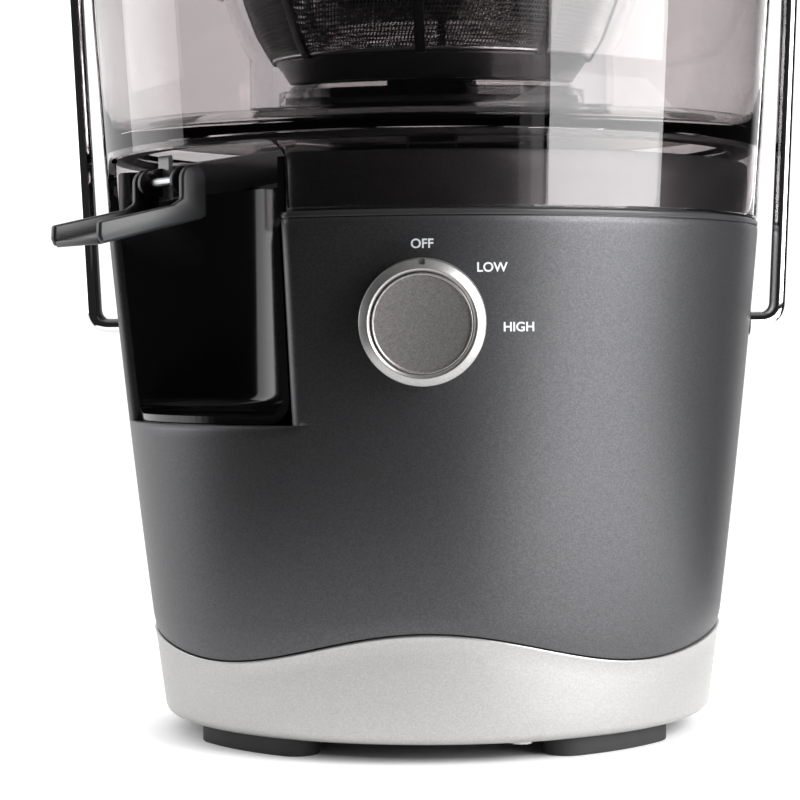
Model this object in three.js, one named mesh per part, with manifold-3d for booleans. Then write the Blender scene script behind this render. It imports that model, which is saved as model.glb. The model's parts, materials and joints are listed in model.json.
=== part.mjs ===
// Centrifugal juicer: motor base, pulp drum, juice bowl, spinning sieve, lid, pusher and locking arm.
// Millimetres, +Z up. The origin is on the vertical drive axis, at the height of the feet's soles.
// The front, with the speed knob, faces -Y. The juice spout leaves at the front left.

import * as THREE from 'three';
import { mergeVertices } from 'three/addons/utils/BufferGeometryUtils.js';
import Module from 'manifold-3d';

const wasm = await Module();
wasm.setup();

// ---- Driving dimensions ----------------------------------------------------------------------

const GAP = 0.3; // clearance between neighbouring pieces
const WALL = 2.5; // moulded wall of the housing, band, drum and lid

const BAND_BOTTOM = 5.5;
const HOUSING_SKIRT_BOTTOM = 12; // the housing's inner skirt reaches down behind the band
const SHOULDER_TOP = 154;
const SHOULDER_RADIUS = 100;
const NECK_RADIUS = 97;
const NECK_TOP = 170.3;

const SPOUT_HEADING = THREE.MathUtils.degToRad(-140); // direction of the spout from +X, seen from above
const ALCOVE_DISTANCE = 105; // from the drive axis to the axis of the scooped alcove
const ALCOVE_RADIUS = 46;
const ALCOVE_FLOOR = 95;
const LINER_THICKNESS = 2;
const LINER_INSET = 5; // the liner's front edge lies behind the housing's surface

const DRUM_BOTTOM = SHOULDER_TOP + GAP;
const DRUM_TOP = 236;
const DRUM_FLARE = 1 / 15;
const DRUM_FLOOR = 178.8;
const DRUM_FLOOR_UNDER = 176.3;
const FLOOR_RIM_BOTTOM = 174; // the floor is thicker at its rim
const BOSS_RADIUS = 44;
const BOSS_TOP = 192;
const ARCH_TOP = 173.3;
const ARCH_HALF_WIDTH = 43;
const ARCH_CORNER = 6.5;

const LID_RADIUS = 107.5;
const LID_BOTTOM = DRUM_TOP + GAP;
const CHUTE_RADIUS = 39;
const CHUTE_BORE = 36.5;
const CHUTE_BOTTOM = 212;
const CHUTE_TOP = 352;
const PUSHER_RADIUS = 35.4;
const OVERALL_HEIGHT = 400;

const SIEVE_BASE_RADIUS = 48;
const SIEVE_BASE = 202;
const SIEVE_TOP_RADIUS = 62;
const SIEVE_TOP = 233.5;

const SHAFT_RADIUS = 4;
const SHAFT_CLEARANCE = SHAFT_RADIUS + GAP;
const SHAFT_TOP = 188;

const KNOB_RADIUS = 17.25;
const KNOB_HEIGHT = 123.5;
const SPINDLE_RADIUS = 3;

const ARM_PIVOT_HEIGHT = 124.3;
const ARM_ROD_RADIUS = 2.5;
const ARM_INNER_END = 84;
const ARM_BEND_RADIUS = 5;
const ARM_LEG_AT_PIVOT = 106.1;
const ARM_LEG_LEAN = 0.0467; // outward lean of each leg per millimetre of height
const ARM_LEG_TOP = 240;
const CROSSBAR_BACK = 64;
const CROSSBAR_HEIGHT = 278;
const CROSSBAR_HALF = 60;

const PIN_DISTANCE = 97; // spout hinge pin, from the drive axis
const PIN_HEIGHT = 164.5;
const PIN_RADIUS = 1.5;
const EAR_RADIUS = 4;

const ROUND = 40; // facets around the big shells
const MIDDLE = 28; // facets around the bowl, the sieve, the pusher and the knob
const FINE = 16; // facets around the motor's parts
const SMALL = 12; // facets around shafts, pins and screws

// ---- Materials -------------------------------------------------------------------------------

function finish(color, roughness, metalness) {
  return new THREE.MeshStandardMaterial({ color, roughness, metalness });
}

const charcoal = finish(0x4d4d51, 0.38, 0.55);
const satinSilver = finish(0xc3c1bf, 0.34, 0.85);
const glossBlack = finish(0x111113, 0.12, 0);
const mattBlack = finish(0x1b1b1d, 0.55, 0);
const rubber = finish(0x17171a, 0.85, 0);
const chrome = finish(0xd9dadc, 0.08, 1);
const steel = finish(0xb4b6b8, 0.3, 1);
const copper = finish(0xb0683a, 0.35, 1);
const iron = finish(0x5d6064, 0.5, 0.9);
const board = finish(0x2f6b3a, 0.5, 0);
const smoky = finish(0x8a8484, 0.08, 0);
smoky.transparent = true;
smoky.opacity = 0.4;
const clear = finish(0xd6dadb, 0.06, 0);
clear.transparent = true;
clear.opacity = 0.3;

// ---- Shape helpers ---------------------------------------------------------------------------

function closedMesh(geometry) {
  const bare = geometry.clone();
  bare.deleteAttribute('normal');
  bare.deleteAttribute('uv');
  const merged = mergeVertices(bare);
  const corners = merged.index.array;
  const kept = [];
  for (let i = 0; i < corners.length; i += 3) {
    const [a, b, c] = corners.slice(i, i + 3);
    if (a !== b && b !== c && c !== a) kept.push(a, b, c);
  }
  return { points: merged.attributes.position.array, corners: kept };
}

function signedVolume(points, corners) {
  const vertex = (i) => new THREE.Vector3().fromArray(points, 3 * i);
  let sum = 0;
  for (let i = 0; i < corners.length; i += 3) {
    const a = vertex(corners[i]);
    const b = vertex(corners[i + 1]);
    const c = vertex(corners[i + 2]);
    sum += a.dot(b.cross(c)) / 6;
  }
  return sum;
}

function solid(geometry) {
  const { points, corners } = closedMesh(geometry);
  if (signedVolume(points, corners) < 0) {
    for (let i = 0; i < corners.length; i += 3) {
      [corners[i], corners[i + 1]] = [corners[i + 1], corners[i]];
    }
  }
  const mesh = { numProp: 3, vertProperties: new Float32Array(points), triVerts: new Uint32Array(corners) };
  return new wasm.Manifold(new wasm.Mesh(mesh));
}

function toGeometry(manifold) {
  const { vertProperties, triVerts } = manifold.getMesh();
  const geometry = new THREE.BufferGeometry();
  geometry.setAttribute('position', new THREE.BufferAttribute(new Float32Array(vertProperties), 3));
  geometry.setIndex(new THREE.BufferAttribute(new Uint32Array(triVerts), 1));
  geometry.computeVertexNormals();
  return geometry;
}

const join = (first, ...others) => others.reduce((whole, next) => whole.add(next), first);
const cut = (body, ...tools) => tools.reduce((rest, tool) => rest.subtract(tool), body);

// A ring or solid turned about Z from [radius, height] points; the outline closes on itself.
function turned(profile, segments = FINE) {
  const outline = [...profile, profile[0]].map(([radius, height]) => new THREE.Vector2(radius, height));
  return solid(new THREE.LatheGeometry(outline, segments).rotateX(Math.PI / 2));
}

// The same, turned about Y: [radius, position along Y].
function turnedAlongY(profile, segments = FINE) {
  const outline = [...profile, profile[0]].map(([radius, along]) => new THREE.Vector2(radius, along));
  return solid(new THREE.LatheGeometry(outline, segments));
}

// The same, turned about X: [radius, position along X].
function turnedAlongX(profile, centre, segments = FINE) {
  const outline = [...profile, profile[0]].map(([radius, along]) => new THREE.Vector2(radius, along));
  const geometry = new THREE.LatheGeometry(outline, segments).rotateZ(-Math.PI / 2);
  return solid(geometry.translate(0, centre.y, centre.z));
}

// A shell turned about Z whose outline changes with the angle; angle 0 is the front.
function turnedByAngle(profileAt, segments) {
  const points = [];
  const corners = [];
  const count = profileAt(0).length;
  for (let step = 0; step < segments; step += 1) {
    const angle = (2 * Math.PI * step) / segments;
    for (const [radius, height] of profileAt(angle)) {
      points.push(radius * Math.sin(angle), -radius * Math.cos(angle), height);
    }
    const here = step * count;
    const next = ((step + 1) % segments) * count;
    for (let i = 0; i < count; i += 1) {
      const j = (i + 1) % count;
      corners.push(here + i, next + i, next + j, here + i, next + j, here + j);
    }
  }
  const geometry = new THREE.BufferGeometry();
  geometry.setAttribute('position', new THREE.Float32BufferAttribute(points, 3));
  geometry.setIndex(corners);
  return solid(geometry);
}

function tube(inner, outer, bottom, top, segments = FINE) {
  return turned([[inner, bottom], [outer, bottom], [outer, top], [inner, top]], segments);
}

function post(radius, bottom, top, x = 0, y = 0, segments = FINE) {
  const geometry = new THREE.CylinderGeometry(radius, radius, top - bottom, segments);
  return solid(geometry.rotateX(Math.PI / 2).translate(x, y, (top + bottom) / 2));
}

function block([x0, x1], [y0, y1], [z0, z1]) {
  const geometry = new THREE.BoxGeometry(x1 - x0, y1 - y0, z1 - z0);
  return solid(geometry.translate((x0 + x1) / 2, (y0 + y1) / 2, (z0 + z1) / 2));
}

function outline(points) {
  return new THREE.Shape(points.map(([across, up]) => new THREE.Vector2(across, up)));
}

function extruded(shape, depth, curveSegments = 8) {
  return new THREE.ExtrudeGeometry(shape, { depth, bevelEnabled: false, curveSegments });
}

// An upright plate: the shape is drawn in X and Z and has its thickness along Y.
function plateAcrossY(shape, y0, y1, curveSegments) {
  return extruded(shape, y1 - y0, curveSegments).rotateX(Math.PI / 2).translate(0, y1, 0);
}

// The same plate in the spout's frame: X runs outward along the spout, Y across it.
function spoutPlate(shape, side0, side1, curveSegments) {
  return solid(plateAcrossY(shape, side0, side1, curveSegments).rotateZ(SPOUT_HEADING));
}

function spoutBlock([out0, out1], halfWidth, [z0, z1]) {
  const geometry = new THREE.BoxGeometry(out1 - out0, 2 * halfWidth, z1 - z0);
  return solid(geometry.translate((out0 + out1) / 2, 0, (z0 + z1) / 2).rotateZ(SPOUT_HEADING));
}

// A flat curved pad between two radii with round ends, centred on an angle from the front.
function arcPad(middleRadius, halfWidth, centreAngle, halfSpan, bottom, top, curveSegments = 8) {
  const middle = centreAngle - Math.PI / 2;
  const start = middle - halfSpan;
  const end = middle + halfSpan;
  const shape = new THREE.Shape();
  const endCentre = (angle) => [middleRadius * Math.cos(angle), middleRadius * Math.sin(angle)];
  shape.absarc(0, 0, middleRadius + halfWidth, start, end, false);
  shape.absarc(...endCentre(end), halfWidth, end, end + Math.PI, false);
  shape.absarc(0, 0, middleRadius - halfWidth, end, start, true);
  shape.absarc(...endCentre(start), halfWidth, start + Math.PI, start + 2 * Math.PI, false);
  return solid(extruded(shape, top - bottom, curveSegments).translate(0, 0, bottom));
}

const model = new THREE.Group();

function addPiece(name, manifold, material, parent = model) {
  const mesh = new THREE.Mesh(toGeometry(manifold), material);
  mesh.name = name;
  parent.add(mesh);
}

// ---- Base shells -----------------------------------------------------------------------------

// Radius of the outer surface, slightly bulged and wider towards the top.
const bodyRadius = (height) => 83.2 + 0.1325 * height - 0.00014 * height * height;

// Height of the wavy joint between the housing and the silver band, by angle from the front.
const seamHeight = (angle) => 30.7 + 2.1 * Math.cos(2 * angle) + 3.9 * Math.cos(4 * angle)
  + 0.4 * Math.cos(6 * angle);

const SKIRT_FACE = WALL + GAP; // the housing's skirt, behind the band, measured in from the surface
const SKIRT_BACK = SKIRT_FACE + 2.2;

function insideOfSurface(heights, inset) {
  return heights.map((height) => [bodyRadius(height) - inset, height]);
}

function shoulderOutline() {
  return [
    [SHOULDER_RADIUS, 150],
    [SHOULDER_RADIUS - 0.2, 152.4],
    [SHOULDER_RADIUS - 1.6, SHOULDER_TOP],
    [NECK_RADIUS, SHOULDER_TOP],
    [NECK_RADIUS, NECK_TOP],
  ];
}

const alcoveCentre = {
  x: ALCOVE_DISTANCE * Math.cos(SPOUT_HEADING),
  y: ALCOVE_DISTANCE * Math.sin(SPOUT_HEADING),
};

function alcoveColumn(radius, bottom, top) {
  return post(radius, bottom, top, alcoveCentre.x, alcoveCentre.y, ROUND);
}

const SCOOP_WALL_RADIUS = ALCOVE_RADIUS + WALL;
const ABOVE_ALL = 200; // upper end of cutters that leave through the top of the base

const ductNotch = () => spoutBlock([46, 70], 10.2, [164, ABOVE_ALL]);

const KNOB_TILT = Math.atan(0.1325 - 0.00028 * KNOB_HEIGHT); // the wall's slope behind the knob

function inKnobFrame(manifold) {
  const geometry = toGeometry(manifold).rotateX(KNOB_TILT);
  return solid(geometry.translate(0, -bodyRadius(KNOB_HEIGHT), KNOB_HEIGHT));
}

const armHole = (side) => turnedAlongX(
  [[0, side * 80], [5.3, side * 80], [5.3, side * 105], [0, side * 105]],
  { y: 0, z: ARM_PIVOT_HEIGHT },
  SMALL,
);

const GLAND_HEIGHT = 19;
const glandHole = () => solid(
  toGeometry(turnedAlongY([[0, 70], [6.3, 70], [6.3, 95], [0, 95]], SMALL)).translate(0, 0, GLAND_HEIGHT),
);

const SCREW_CIRCLE = 74.5;
const screwAngles = [20, 110, 200, 290].map((degrees) => THREE.MathUtils.degToRad(degrees));
const screwPlace = (angle) => [SCREW_CIRCLE * Math.sin(angle), -SCREW_CIRCLE * Math.cos(angle)];

function screwBoss(angle) {
  const [x, y] = screwPlace(angle);
  const web = new THREE.BoxGeometry(4, 6, 26).translate(0, -SCREW_CIRCLE - 4.2, 27).rotateZ(angle);
  return cut(join(post(4.5, 14, 40, x, y, SMALL), solid(web)), post(2.1, 13, 34, x, y, SMALL));
}

function baseHousing() {
  const wallHeights = [130, 105, 80, 58];
  const shell = turnedByAngle((angle) => {
    const seam = seamHeight(angle) + GAP / 2;
    return [
      ...insideOfSurface([seam], 0),
      ...insideOfSurface([seam, HOUSING_SKIRT_BOTTOM], SKIRT_FACE),
      ...insideOfSurface([HOUSING_SKIRT_BOTTOM, 44], SKIRT_BACK),
      ...insideOfSurface([50, 80, 105, 130, 150], WALL),
      [NECK_RADIUS - WALL, SHOULDER_TOP],
      [NECK_RADIUS - WALL, NECK_TOP],
      ...shoulderOutline().reverse(),
      ...insideOfSurface(wallHeights, 0),
    ];
  }, ROUND);
  const within = turned([
    [0, 58],
    ...insideOfSurface([...wallHeights].reverse(), 0),
    ...shoulderOutline(),
    [0, NECK_TOP],
  ], ROUND);
  const scoop = alcoveColumn(SCOOP_WALL_RADIUS, ALCOVE_FLOOR - WALL, ABOVE_ALL);
  const hollow = alcoveColumn(ALCOVE_RADIUS, ALCOVE_FLOOR, ABOVE_ALL);
  const spindleHole = inKnobFrame(turnedAlongY([[0, -5], [3.8, -5], [3.8, 8], [0, 8]], SMALL));
  const body = join(shell, scoop.intersect(within), ...screwAngles.map(screwBoss));
  return cut(body, hollow, ductNotch(), armHole(1), armHole(-1), glandHole(), spindleHole);
}

function baseBand() {
  const PROUD = 0.25; // the upper edge stands just proud of the housing
  const band = turnedByAngle((angle) => {
    const top = seamHeight(angle) - GAP / 2;
    return [
      [bodyRadius(BAND_BOTTOM) - 3, BAND_BOTTOM],
      [bodyRadius(BAND_BOTTOM) - 0.9, BAND_BOTTOM + 0.9],
      ...insideOfSurface([BAND_BOTTOM + 3, 18], 0),
      [bodyRadius(top) + PROUD, top - 0.6],
      [bodyRadius(top) + PROUD, top],
      ...insideOfSurface([top, BAND_BOTTOM], WALL),
    ];
  }, ROUND);
  return cut(band, glandHole());
}

function alcoveLiner() {
  const cup = cut(
    alcoveColumn(ALCOVE_RADIUS - GAP, ALCOVE_FLOOR + GAP, 170),
    alcoveColumn(ALCOVE_RADIUS - GAP - LINER_THICKNESS, ALCOVE_FLOOR + GAP + LINER_THICKNESS, ABOVE_ALL),
  );
  const limit = turned([
    [0, 90],
    ...insideOfSurface([90, 110, 130, 150], LINER_INSET),
    [NECK_RADIUS - LINER_INSET, SHOULDER_TOP],
    [NECK_RADIUS - LINER_INSET, 172],
    [0, 172],
  ], ROUND);
  return cut(cup.intersect(limit), ductNotch());
}

const PLATE_BOTTOM = 6;
const PLATE_TOP = 9;

function bottomPlate() {
  const plate = post(bodyRadius(BAND_BOTTOM) - WALL - 0.4, PLATE_BOTTOM, PLATE_TOP, 0, 0, ROUND);
  const slotCount = 8;
  const slots = [];
  for (let index = 0; index < slotCount; index += 1) {
    const angle = (2 * Math.PI * (index + 0.5)) / slotCount;
    const slot = new THREE.BoxGeometry(6, 18, 10).translate(0, -22, 8).rotateZ(angle);
    slots.push(solid(slot));
  }
  const holes = screwAngles.map((angle) => post(2.1, 0, 12, ...screwPlace(angle), SMALL));
  return cut(plate, ...slots, ...holes);
}

addPiece('base_housing', baseHousing(), charcoal);
addPiece('base_band', baseBand(), satinSilver);
addPiece('alcove_liner', alcoveLiner(), glossBlack);
addPiece('bottom_plate', bottomPlate(), mattBlack);

const feet = { foot_front_right: 45, foot_rear_right: 135, foot_rear_left: 225, foot_front_left: 315 };
for (const [name, degrees] of Object.entries(feet)) {
  const angle = THREE.MathUtils.degToRad(degrees);
  const pad = arcPad(73, 6.8, angle, THREE.MathUtils.degToRad(13), 0, PLATE_BOTTOM - GAP, 6);
  addPiece(name, pad, rubber);
}

screwAngles.forEach((angle, index) => {
  const [x, y] = screwPlace(angle);
  const screw = join(post(3.6, 4.3, 5.7, x, y, SMALL), post(1.8, 5.6, 26, x, y, SMALL));
  addPiece(`base_screw_${index + 1}`, screw, steel);
});

const gland = turnedAlongY([
  [3.8, 77], [7.8, 77], [7.8, 78.6], [6, 78.6], [6, 87], [7.4, 87.2], [7.4, 90], [3.8, 90],
], SMALL);
addPiece('cord_gland', solid(toGeometry(gland).translate(0, 0, GLAND_HEIGHT)), rubber);

for (const [name, side] of [['arm_bush_left', -1], ['arm_bush_right', 1]]) {
  const profile = [[2.8, 93], [5, 93], [5, 97.8], [2.8, 97.8]];
  const mirrored = profile.map(([radius, along]) => [radius, side * along]);
  addPiece(name, turnedAlongX(mirrored, { y: 0, z: ARM_PIVOT_HEIGHT }, SMALL), mattBlack);
}

// ---- Motor and electrics ---------------------------------------------------------------------

const DECK_BOTTOM = 162;
const DECK_TOP = 165;

const deck = cut(
  tube(6, NECK_RADIUS - WALL - 0.4, DECK_BOTTOM, DECK_TOP, ROUND),
  alcoveColumn(SCOOP_WALL_RADIUS + GAP, 150, ABOVE_ALL),
);
addPiece('motor_deck', deck, mattBlack);
addPiece('deck_seal', tube(SHAFT_CLEARANCE, 9, DECK_TOP + GAP, 168), rubber);

const BRACKET_HALF = 46;

function motorBracketTop() {
  const bar = block([-BRACKET_HALF, BRACKET_HALF], [-15, 15], [100.5, 103.5]);
  const rightLeg = block([41, BRACKET_HALF], [-10, 10], [21.3, 101]);
  const leftLeg = block([-BRACKET_HALF, -41], [-10, 10], [21.3, 101]);
  return cut(join(bar, rightLeg, leftLeg), post(9.3, 90, 110));
}

function motorBracketBottom() {
  const disc = tube(9.3, BRACKET_HALF + 4, 18, 21, FINE);
  const windows = [0, 1, 2, 3].map((index) => {
    const window = new THREE.BoxGeometry(16, 12, 20).translate(0, 24, 20).rotateZ((index * Math.PI) / 2);
    return solid(window);
  });
  return cut(disc, ...windows);
}

addPiece('motor_bracket_top', motorBracketTop(), iron);
addPiece('motor_bracket_bottom', motorBracketBottom(), iron);

const stator = cut(join(post(38, 45, 85), block([-40.7, 40.7], [-12, 12], [45, 85])), post(22, 40, 90));
addPiece('stator_core', stator, iron);
const coilSpan = THREE.MathUtils.degToRad(40);
addPiece('field_coil_front', arcPad(30, 6, 0, coilSpan, 85.3, 93), copper);
addPiece('field_coil_rear', arcPad(30, 6, Math.PI, coilSpan, 85.3, 93), copper);
addPiece('bearing_top', tube(SHAFT_CLEARANCE, 9, 99.6, 104.6), steel);
addPiece('bearing_bottom', tube(SHAFT_CLEARANCE, 9, 17, 22), steel);

const MOUNT_CIRCLE = 43;
for (let index = 0; index < 4; index += 1) {
  const angle = Math.PI / 4 + (index * Math.PI) / 2;
  const x = MOUNT_CIRCLE * Math.sin(angle);
  const y = -MOUNT_CIRCLE * Math.cos(angle);
  addPiece(`motor_mount_${index + 1}`, post(5, PLATE_TOP + GAP, 17.7, x, y, SMALL), rubber);
}

addPiece('brush_holder_left', block([-30, -11.4], [-5, 5], [91, 100.2]), mattBlack);
addPiece('brush_holder_right', block([11.4, 30], [-5, 5], [91, 100.2]), mattBlack);

const circuitBoard = join(
  block([-32, 32], [70, 71.6], [55, 105]),
  block([-24, -8], [58, 70.5], [62, 82]),
  block([4, 22], [62, 70.5], [66, 78]),
  block([-10, 14], [64, 70.5], [88, 98]),
);
addPiece('control_board', circuitBoard, board);
addPiece('interlock_switch', block([67, 83.4], [-6, 6], [116, 133]), mattBlack);

// ---- Speed knob, square to the sloping wall --------------------------------------------------

const knobFrame = new THREE.Group();
knobFrame.position.set(0, -bodyRadius(KNOB_HEIGHT), KNOB_HEIGHT);
knobFrame.rotation.x = KNOB_TILT;
model.add(knobFrame);

const knobRing = turnedAlongY([
  [0, -6.7], [13.6, -6.7], [13.6, -8.2], [15.9, -8.2], [KNOB_RADIUS, -6.6], [KNOB_RADIUS, -0.6],
  [15, -0.6], [15, -4.4], [SPINDLE_RADIUS + GAP, -4.4], [SPINDLE_RADIUS + GAP, -5.5], [0, -5.5],
], MIDDLE);
const pointerNotch = block([-0.85, 0.85], [-9, -5.6], [15.7, 18]);
addPiece('knob_body', cut(knobRing, pointerNotch), satinSilver, knobFrame);
const faceProfile = [[0, -7], [13.3, -7], [13.3, -7.9], [12.5, -8.1], [6, -7.7], [0, -7.55]];
addPiece('knob_face', turnedAlongY(faceProfile, MIDDLE), satinSilver, knobFrame);
function rodAlongY(radius, from, to) {
  return turnedAlongY([[0, from], [radius, from], [radius, to], [0, to]], SMALL);
}

addPiece('knob_spindle', rodAlongY(SPINDLE_RADIUS, -5.2, 17), steel, knobFrame);
const switchBore = rodAlongY(SPINDLE_RADIUS + GAP, 0, 17.5);
addPiece('rotary_switch', cut(block([-11, 11], [3.8, 20], [-11, 11]), switchBore), mattBlack, knobFrame);

// ---- Spinning parts --------------------------------------------------------------------------

addPiece('motor_shaft', post(SHAFT_RADIUS, 15, SHAFT_TOP, 0, 0, SMALL), steel);
addPiece('rotor_core', tube(SHAFT_CLEARANCE, 21, 42, 88), iron);
addPiece('commutator', tube(SHAFT_CLEARANCE, 11, 90, 98), copper);

function coolingFan() {
  const bladeCount = 9;
  const blades = [];
  for (let index = 0; index < bladeCount; index += 1) {
    const angle = (2 * Math.PI * index) / bladeCount;
    const blade = new THREE.BoxGeometry(26, 1.6, 8).rotateX(0.5).translate(23, 0, 31).rotateZ(angle);
    blades.push(solid(blade));
  }
  const hub = join(tube(SHAFT_CLEARANCE, 12, 25, 37), tube(11, 36, 25, 26.6));
  return join(hub, ...blades);
}

addPiece('cooling_fan', coolingFan(), mattBlack);

const coupling = turned([
  [0, 199], [0, SHAFT_TOP + GAP], [SHAFT_CLEARANCE, SHAFT_TOP + GAP], [SHAFT_CLEARANCE, 170],
  [8, 170], [8, 197.5], [6.5, 199],
], SMALL);
addPiece('drive_coupling', coupling, mattBlack);

const HUB_BOTTOM = 193.5;
const hubProfile = [
  [0, SIEVE_BASE], [SIEVE_BASE_RADIUS - 0.2, SIEVE_BASE], [SIEVE_BASE_RADIUS - 0.2, 196],
  [SIEVE_BASE_RADIUS - 2.6, HUB_BOTTOM], [8.4, HUB_BOTTOM], [8.4, 199.6], [0, 199.6],
];
addPiece('sieve_hub', turned(hubProfile, MIDDLE), mattBlack);

const MESH_THICKNESS = 0.9;
const meshProfile = [
  [SIEVE_BASE_RADIUS, SIEVE_BASE + GAP],
  [SIEVE_BASE_RADIUS + MESH_THICKNESS, SIEVE_BASE + GAP],
  [SIEVE_TOP_RADIUS + MESH_THICKNESS, SIEVE_TOP],
  [SIEVE_TOP_RADIUS, SIEVE_TOP],
];
addPiece('sieve_mesh', turned(meshProfile, MIDDLE), steel);
const RIM_BOTTOM = SIEVE_TOP + GAP;
const rimProfile = [[61.4, RIM_BOTTOM], [64.4, RIM_BOTTOM], [64.4, 235.4], [63.6, 236], [61.4, 236]];
addPiece('sieve_rim', turned(rimProfile, MIDDLE), steel);

function graterDisc() {
  const top = SIEVE_BASE + 1.3;
  const teeth = [];
  for (let arm = 0; arm < 6; arm += 1) {
    for (let step = 0; step < 4; step += 1) {
      const distance = 14 + 8 * step;
      const angle = (Math.PI * arm) / 3 + 0.16 * step;
      const tooth = new THREE.ConeGeometry(1.6, 2.4, 4).rotateX(Math.PI / 2);
      teeth.push(solid(tooth.translate(distance, 0, top + 1.1).rotateZ(angle)));
    }
  }
  return join(tube(0, 47.2, SIEVE_BASE + GAP, top), post(8, top - 0.5, top + 3), ...teeth);
}

addPiece('grater_disc', graterDisc(), steel);

// ---- Pulp drum, juice bowl and spout ---------------------------------------------------------

const drumRadius = (height) => SHOULDER_RADIUS + (height - SHOULDER_TOP) * DRUM_FLARE;

function archCutter() {
  const shape = new THREE.Shape();
  const bottom = DRUM_BOTTOM - 6;
  shape.moveTo(-ARCH_HALF_WIDTH, bottom);
  shape.lineTo(ARCH_HALF_WIDTH, bottom);
  const cornerSide = ARCH_HALF_WIDTH - ARCH_CORNER;
  const cornerHeight = ARCH_TOP - ARCH_CORNER;
  shape.absarc(cornerSide, cornerHeight, ARCH_CORNER, 0, Math.PI / 2, false);
  shape.absarc(-cornerSide, cornerHeight, ARCH_CORNER, Math.PI / 2, Math.PI, false);
  const geometry = extruded(shape, 60, 4).rotateX(Math.PI / 2).rotateZ(Math.PI / 2);
  return solid(geometry.translate(70, 0, 0).rotateZ(SPOUT_HEADING));
}

function pulpDrum() {
  const wall = turned([
    [drumRadius(DRUM_BOTTOM), DRUM_BOTTOM],
    [drumRadius(DRUM_TOP), DRUM_TOP],
    [drumRadius(DRUM_TOP) - WALL, DRUM_TOP],
    [drumRadius(DRUM_BOTTOM) - WALL, DRUM_BOTTOM],
  ], ROUND);
  return cut(wall, archCutter());
}

// The floor is set into the wall, rises to a flat boss under the sieve and has a slot for the juice duct.
function drumFloor() {
  const floorEdge = (height) => drumRadius(height) - WALL - GAP;
  const disc = turned([
    [floorEdge(FLOOR_RIM_BOTTOM), FLOOR_RIM_BOTTOM],
    [floorEdge(DRUM_FLOOR), DRUM_FLOOR],
    [BOSS_RADIUS, DRUM_FLOOR],
    [BOSS_RADIUS, BOSS_TOP - 2],
    [BOSS_RADIUS - 2, BOSS_TOP],
    [9.5, BOSS_TOP],
    [9.5, BOSS_TOP - WALL],
    [BOSS_RADIUS - WALL, BOSS_TOP - WALL],
    [BOSS_RADIUS - WALL, DRUM_FLOOR_UNDER],
    [92, DRUM_FLOOR_UNDER],
    [92, FLOOR_RIM_BOTTOM],
  ], ROUND);
  return cut(disc, spoutBlock([45.5, 58.5], 10, [160, 185]));
}

addPiece('pulp_drum', pulpDrum(), smoky);
addPiece('drum_floor', drumFloor(), smoky);

const DUCT_HALF = 9.5;
const DUCT_BORE_HALF = 7.7;

function hingeLug(side0, side1) {
  const shape = new THREE.Shape();
  shape.moveTo(88, 161);
  shape.lineTo(PIN_DISTANCE, PIN_HEIGHT - EAR_RADIUS);
  shape.absarc(PIN_DISTANCE, PIN_HEIGHT, EAR_RADIUS, -Math.PI / 2, Math.PI / 2, false);
  shape.lineTo(88, 169.8);
  shape.holes.push(new THREE.Path().absarc(PIN_DISTANCE, PIN_HEIGHT, PIN_RADIUS + GAP, 0, 2 * Math.PI));
  return spoutPlate(shape, side0, side1, 8);
}

function juiceBowl() {
  const trough = turned([
    [45.6, 179.1], [56, 179.1], [56, 203.5], [67.3, 229], [65.5, 229],
    [54.2, 204], [54.2, 180.9], [47.2, 180.9], [47.2, 189], [45.6, 189],
  ], MIDDLE);
  const duct = outline([[46.2, 168], [92, 160], [92, 169.5], [58, 175.2], [58, 180], [46.2, 180]]);
  const channel = outline([[48, 170], [93, 162.1], [93, 167.4], [54, 173.9], [54, 182], [48, 182]]);
  const body = join(
    trough,
    spoutPlate(duct, -DUCT_HALF, DUCT_HALF),
    hingeLug(DUCT_BORE_HALF, DUCT_HALF),
    hingeLug(-DUCT_HALF, -DUCT_BORE_HALF),
  );
  return cut(body, spoutPlate(channel, -DUCT_BORE_HALF, DUCT_BORE_HALF));
}

addPiece('juice_bowl', juiceBowl(), clear);
addPiece('bowl_seal', tube(BOSS_RADIUS + GAP, 45.3, 183, 186, MIDDLE), rubber);

const EAR_HALF = 12.5;
const SPOUT_BORE_HALF = 10;

function juiceSpout() {
  const side = new THREE.Shape();
  side.moveTo(93, 153.5);
  side.lineTo(127, 145.5);
  side.lineTo(128, 152);
  side.lineTo(104, 157);
  side.lineTo(PIN_DISTANCE + EAR_RADIUS, 158.8);
  side.absarc(PIN_DISTANCE, PIN_HEIGHT, EAR_RADIUS, 0, Math.PI, false);
  const channel = outline([[95, 155.2], [130, 147], [130, 190], [95, 190]]);
  const behind = outline([[90, 158], [95.2, 158], [95.2, 190], [90, 190]]);
  const pinHole = new THREE.Shape().absarc(PIN_DISTANCE, PIN_HEIGHT, PIN_RADIUS + GAP, 0, 2 * Math.PI);
  return cut(
    spoutPlate(side, -EAR_HALF, EAR_HALF, 8),
    spoutPlate(channel, -SPOUT_BORE_HALF, SPOUT_BORE_HALF),
    spoutPlate(behind, -SPOUT_BORE_HALF, SPOUT_BORE_HALF),
    spoutPlate(pinHole, -EAR_HALF - 1, EAR_HALF + 1, 8),
  );
}

addPiece('spout', juiceSpout(), glossBlack);
const pinShape = new THREE.Shape().absarc(PIN_DISTANCE, PIN_HEIGHT, PIN_RADIUS, 0, 2 * Math.PI);
addPiece('spout_pin', spoutPlate(pinShape, -EAR_HALF - 0.8, EAR_HALF + 0.8, 8), steel);

// ---- Lid, feed chute and pusher --------------------------------------------------------------

const DOME_BORE = CHUTE_RADIUS + GAP;
const domeUnder = [[98, 238.5], [95, 242], [80, 252], [60, 260], [DOME_BORE, 264]];

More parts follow.
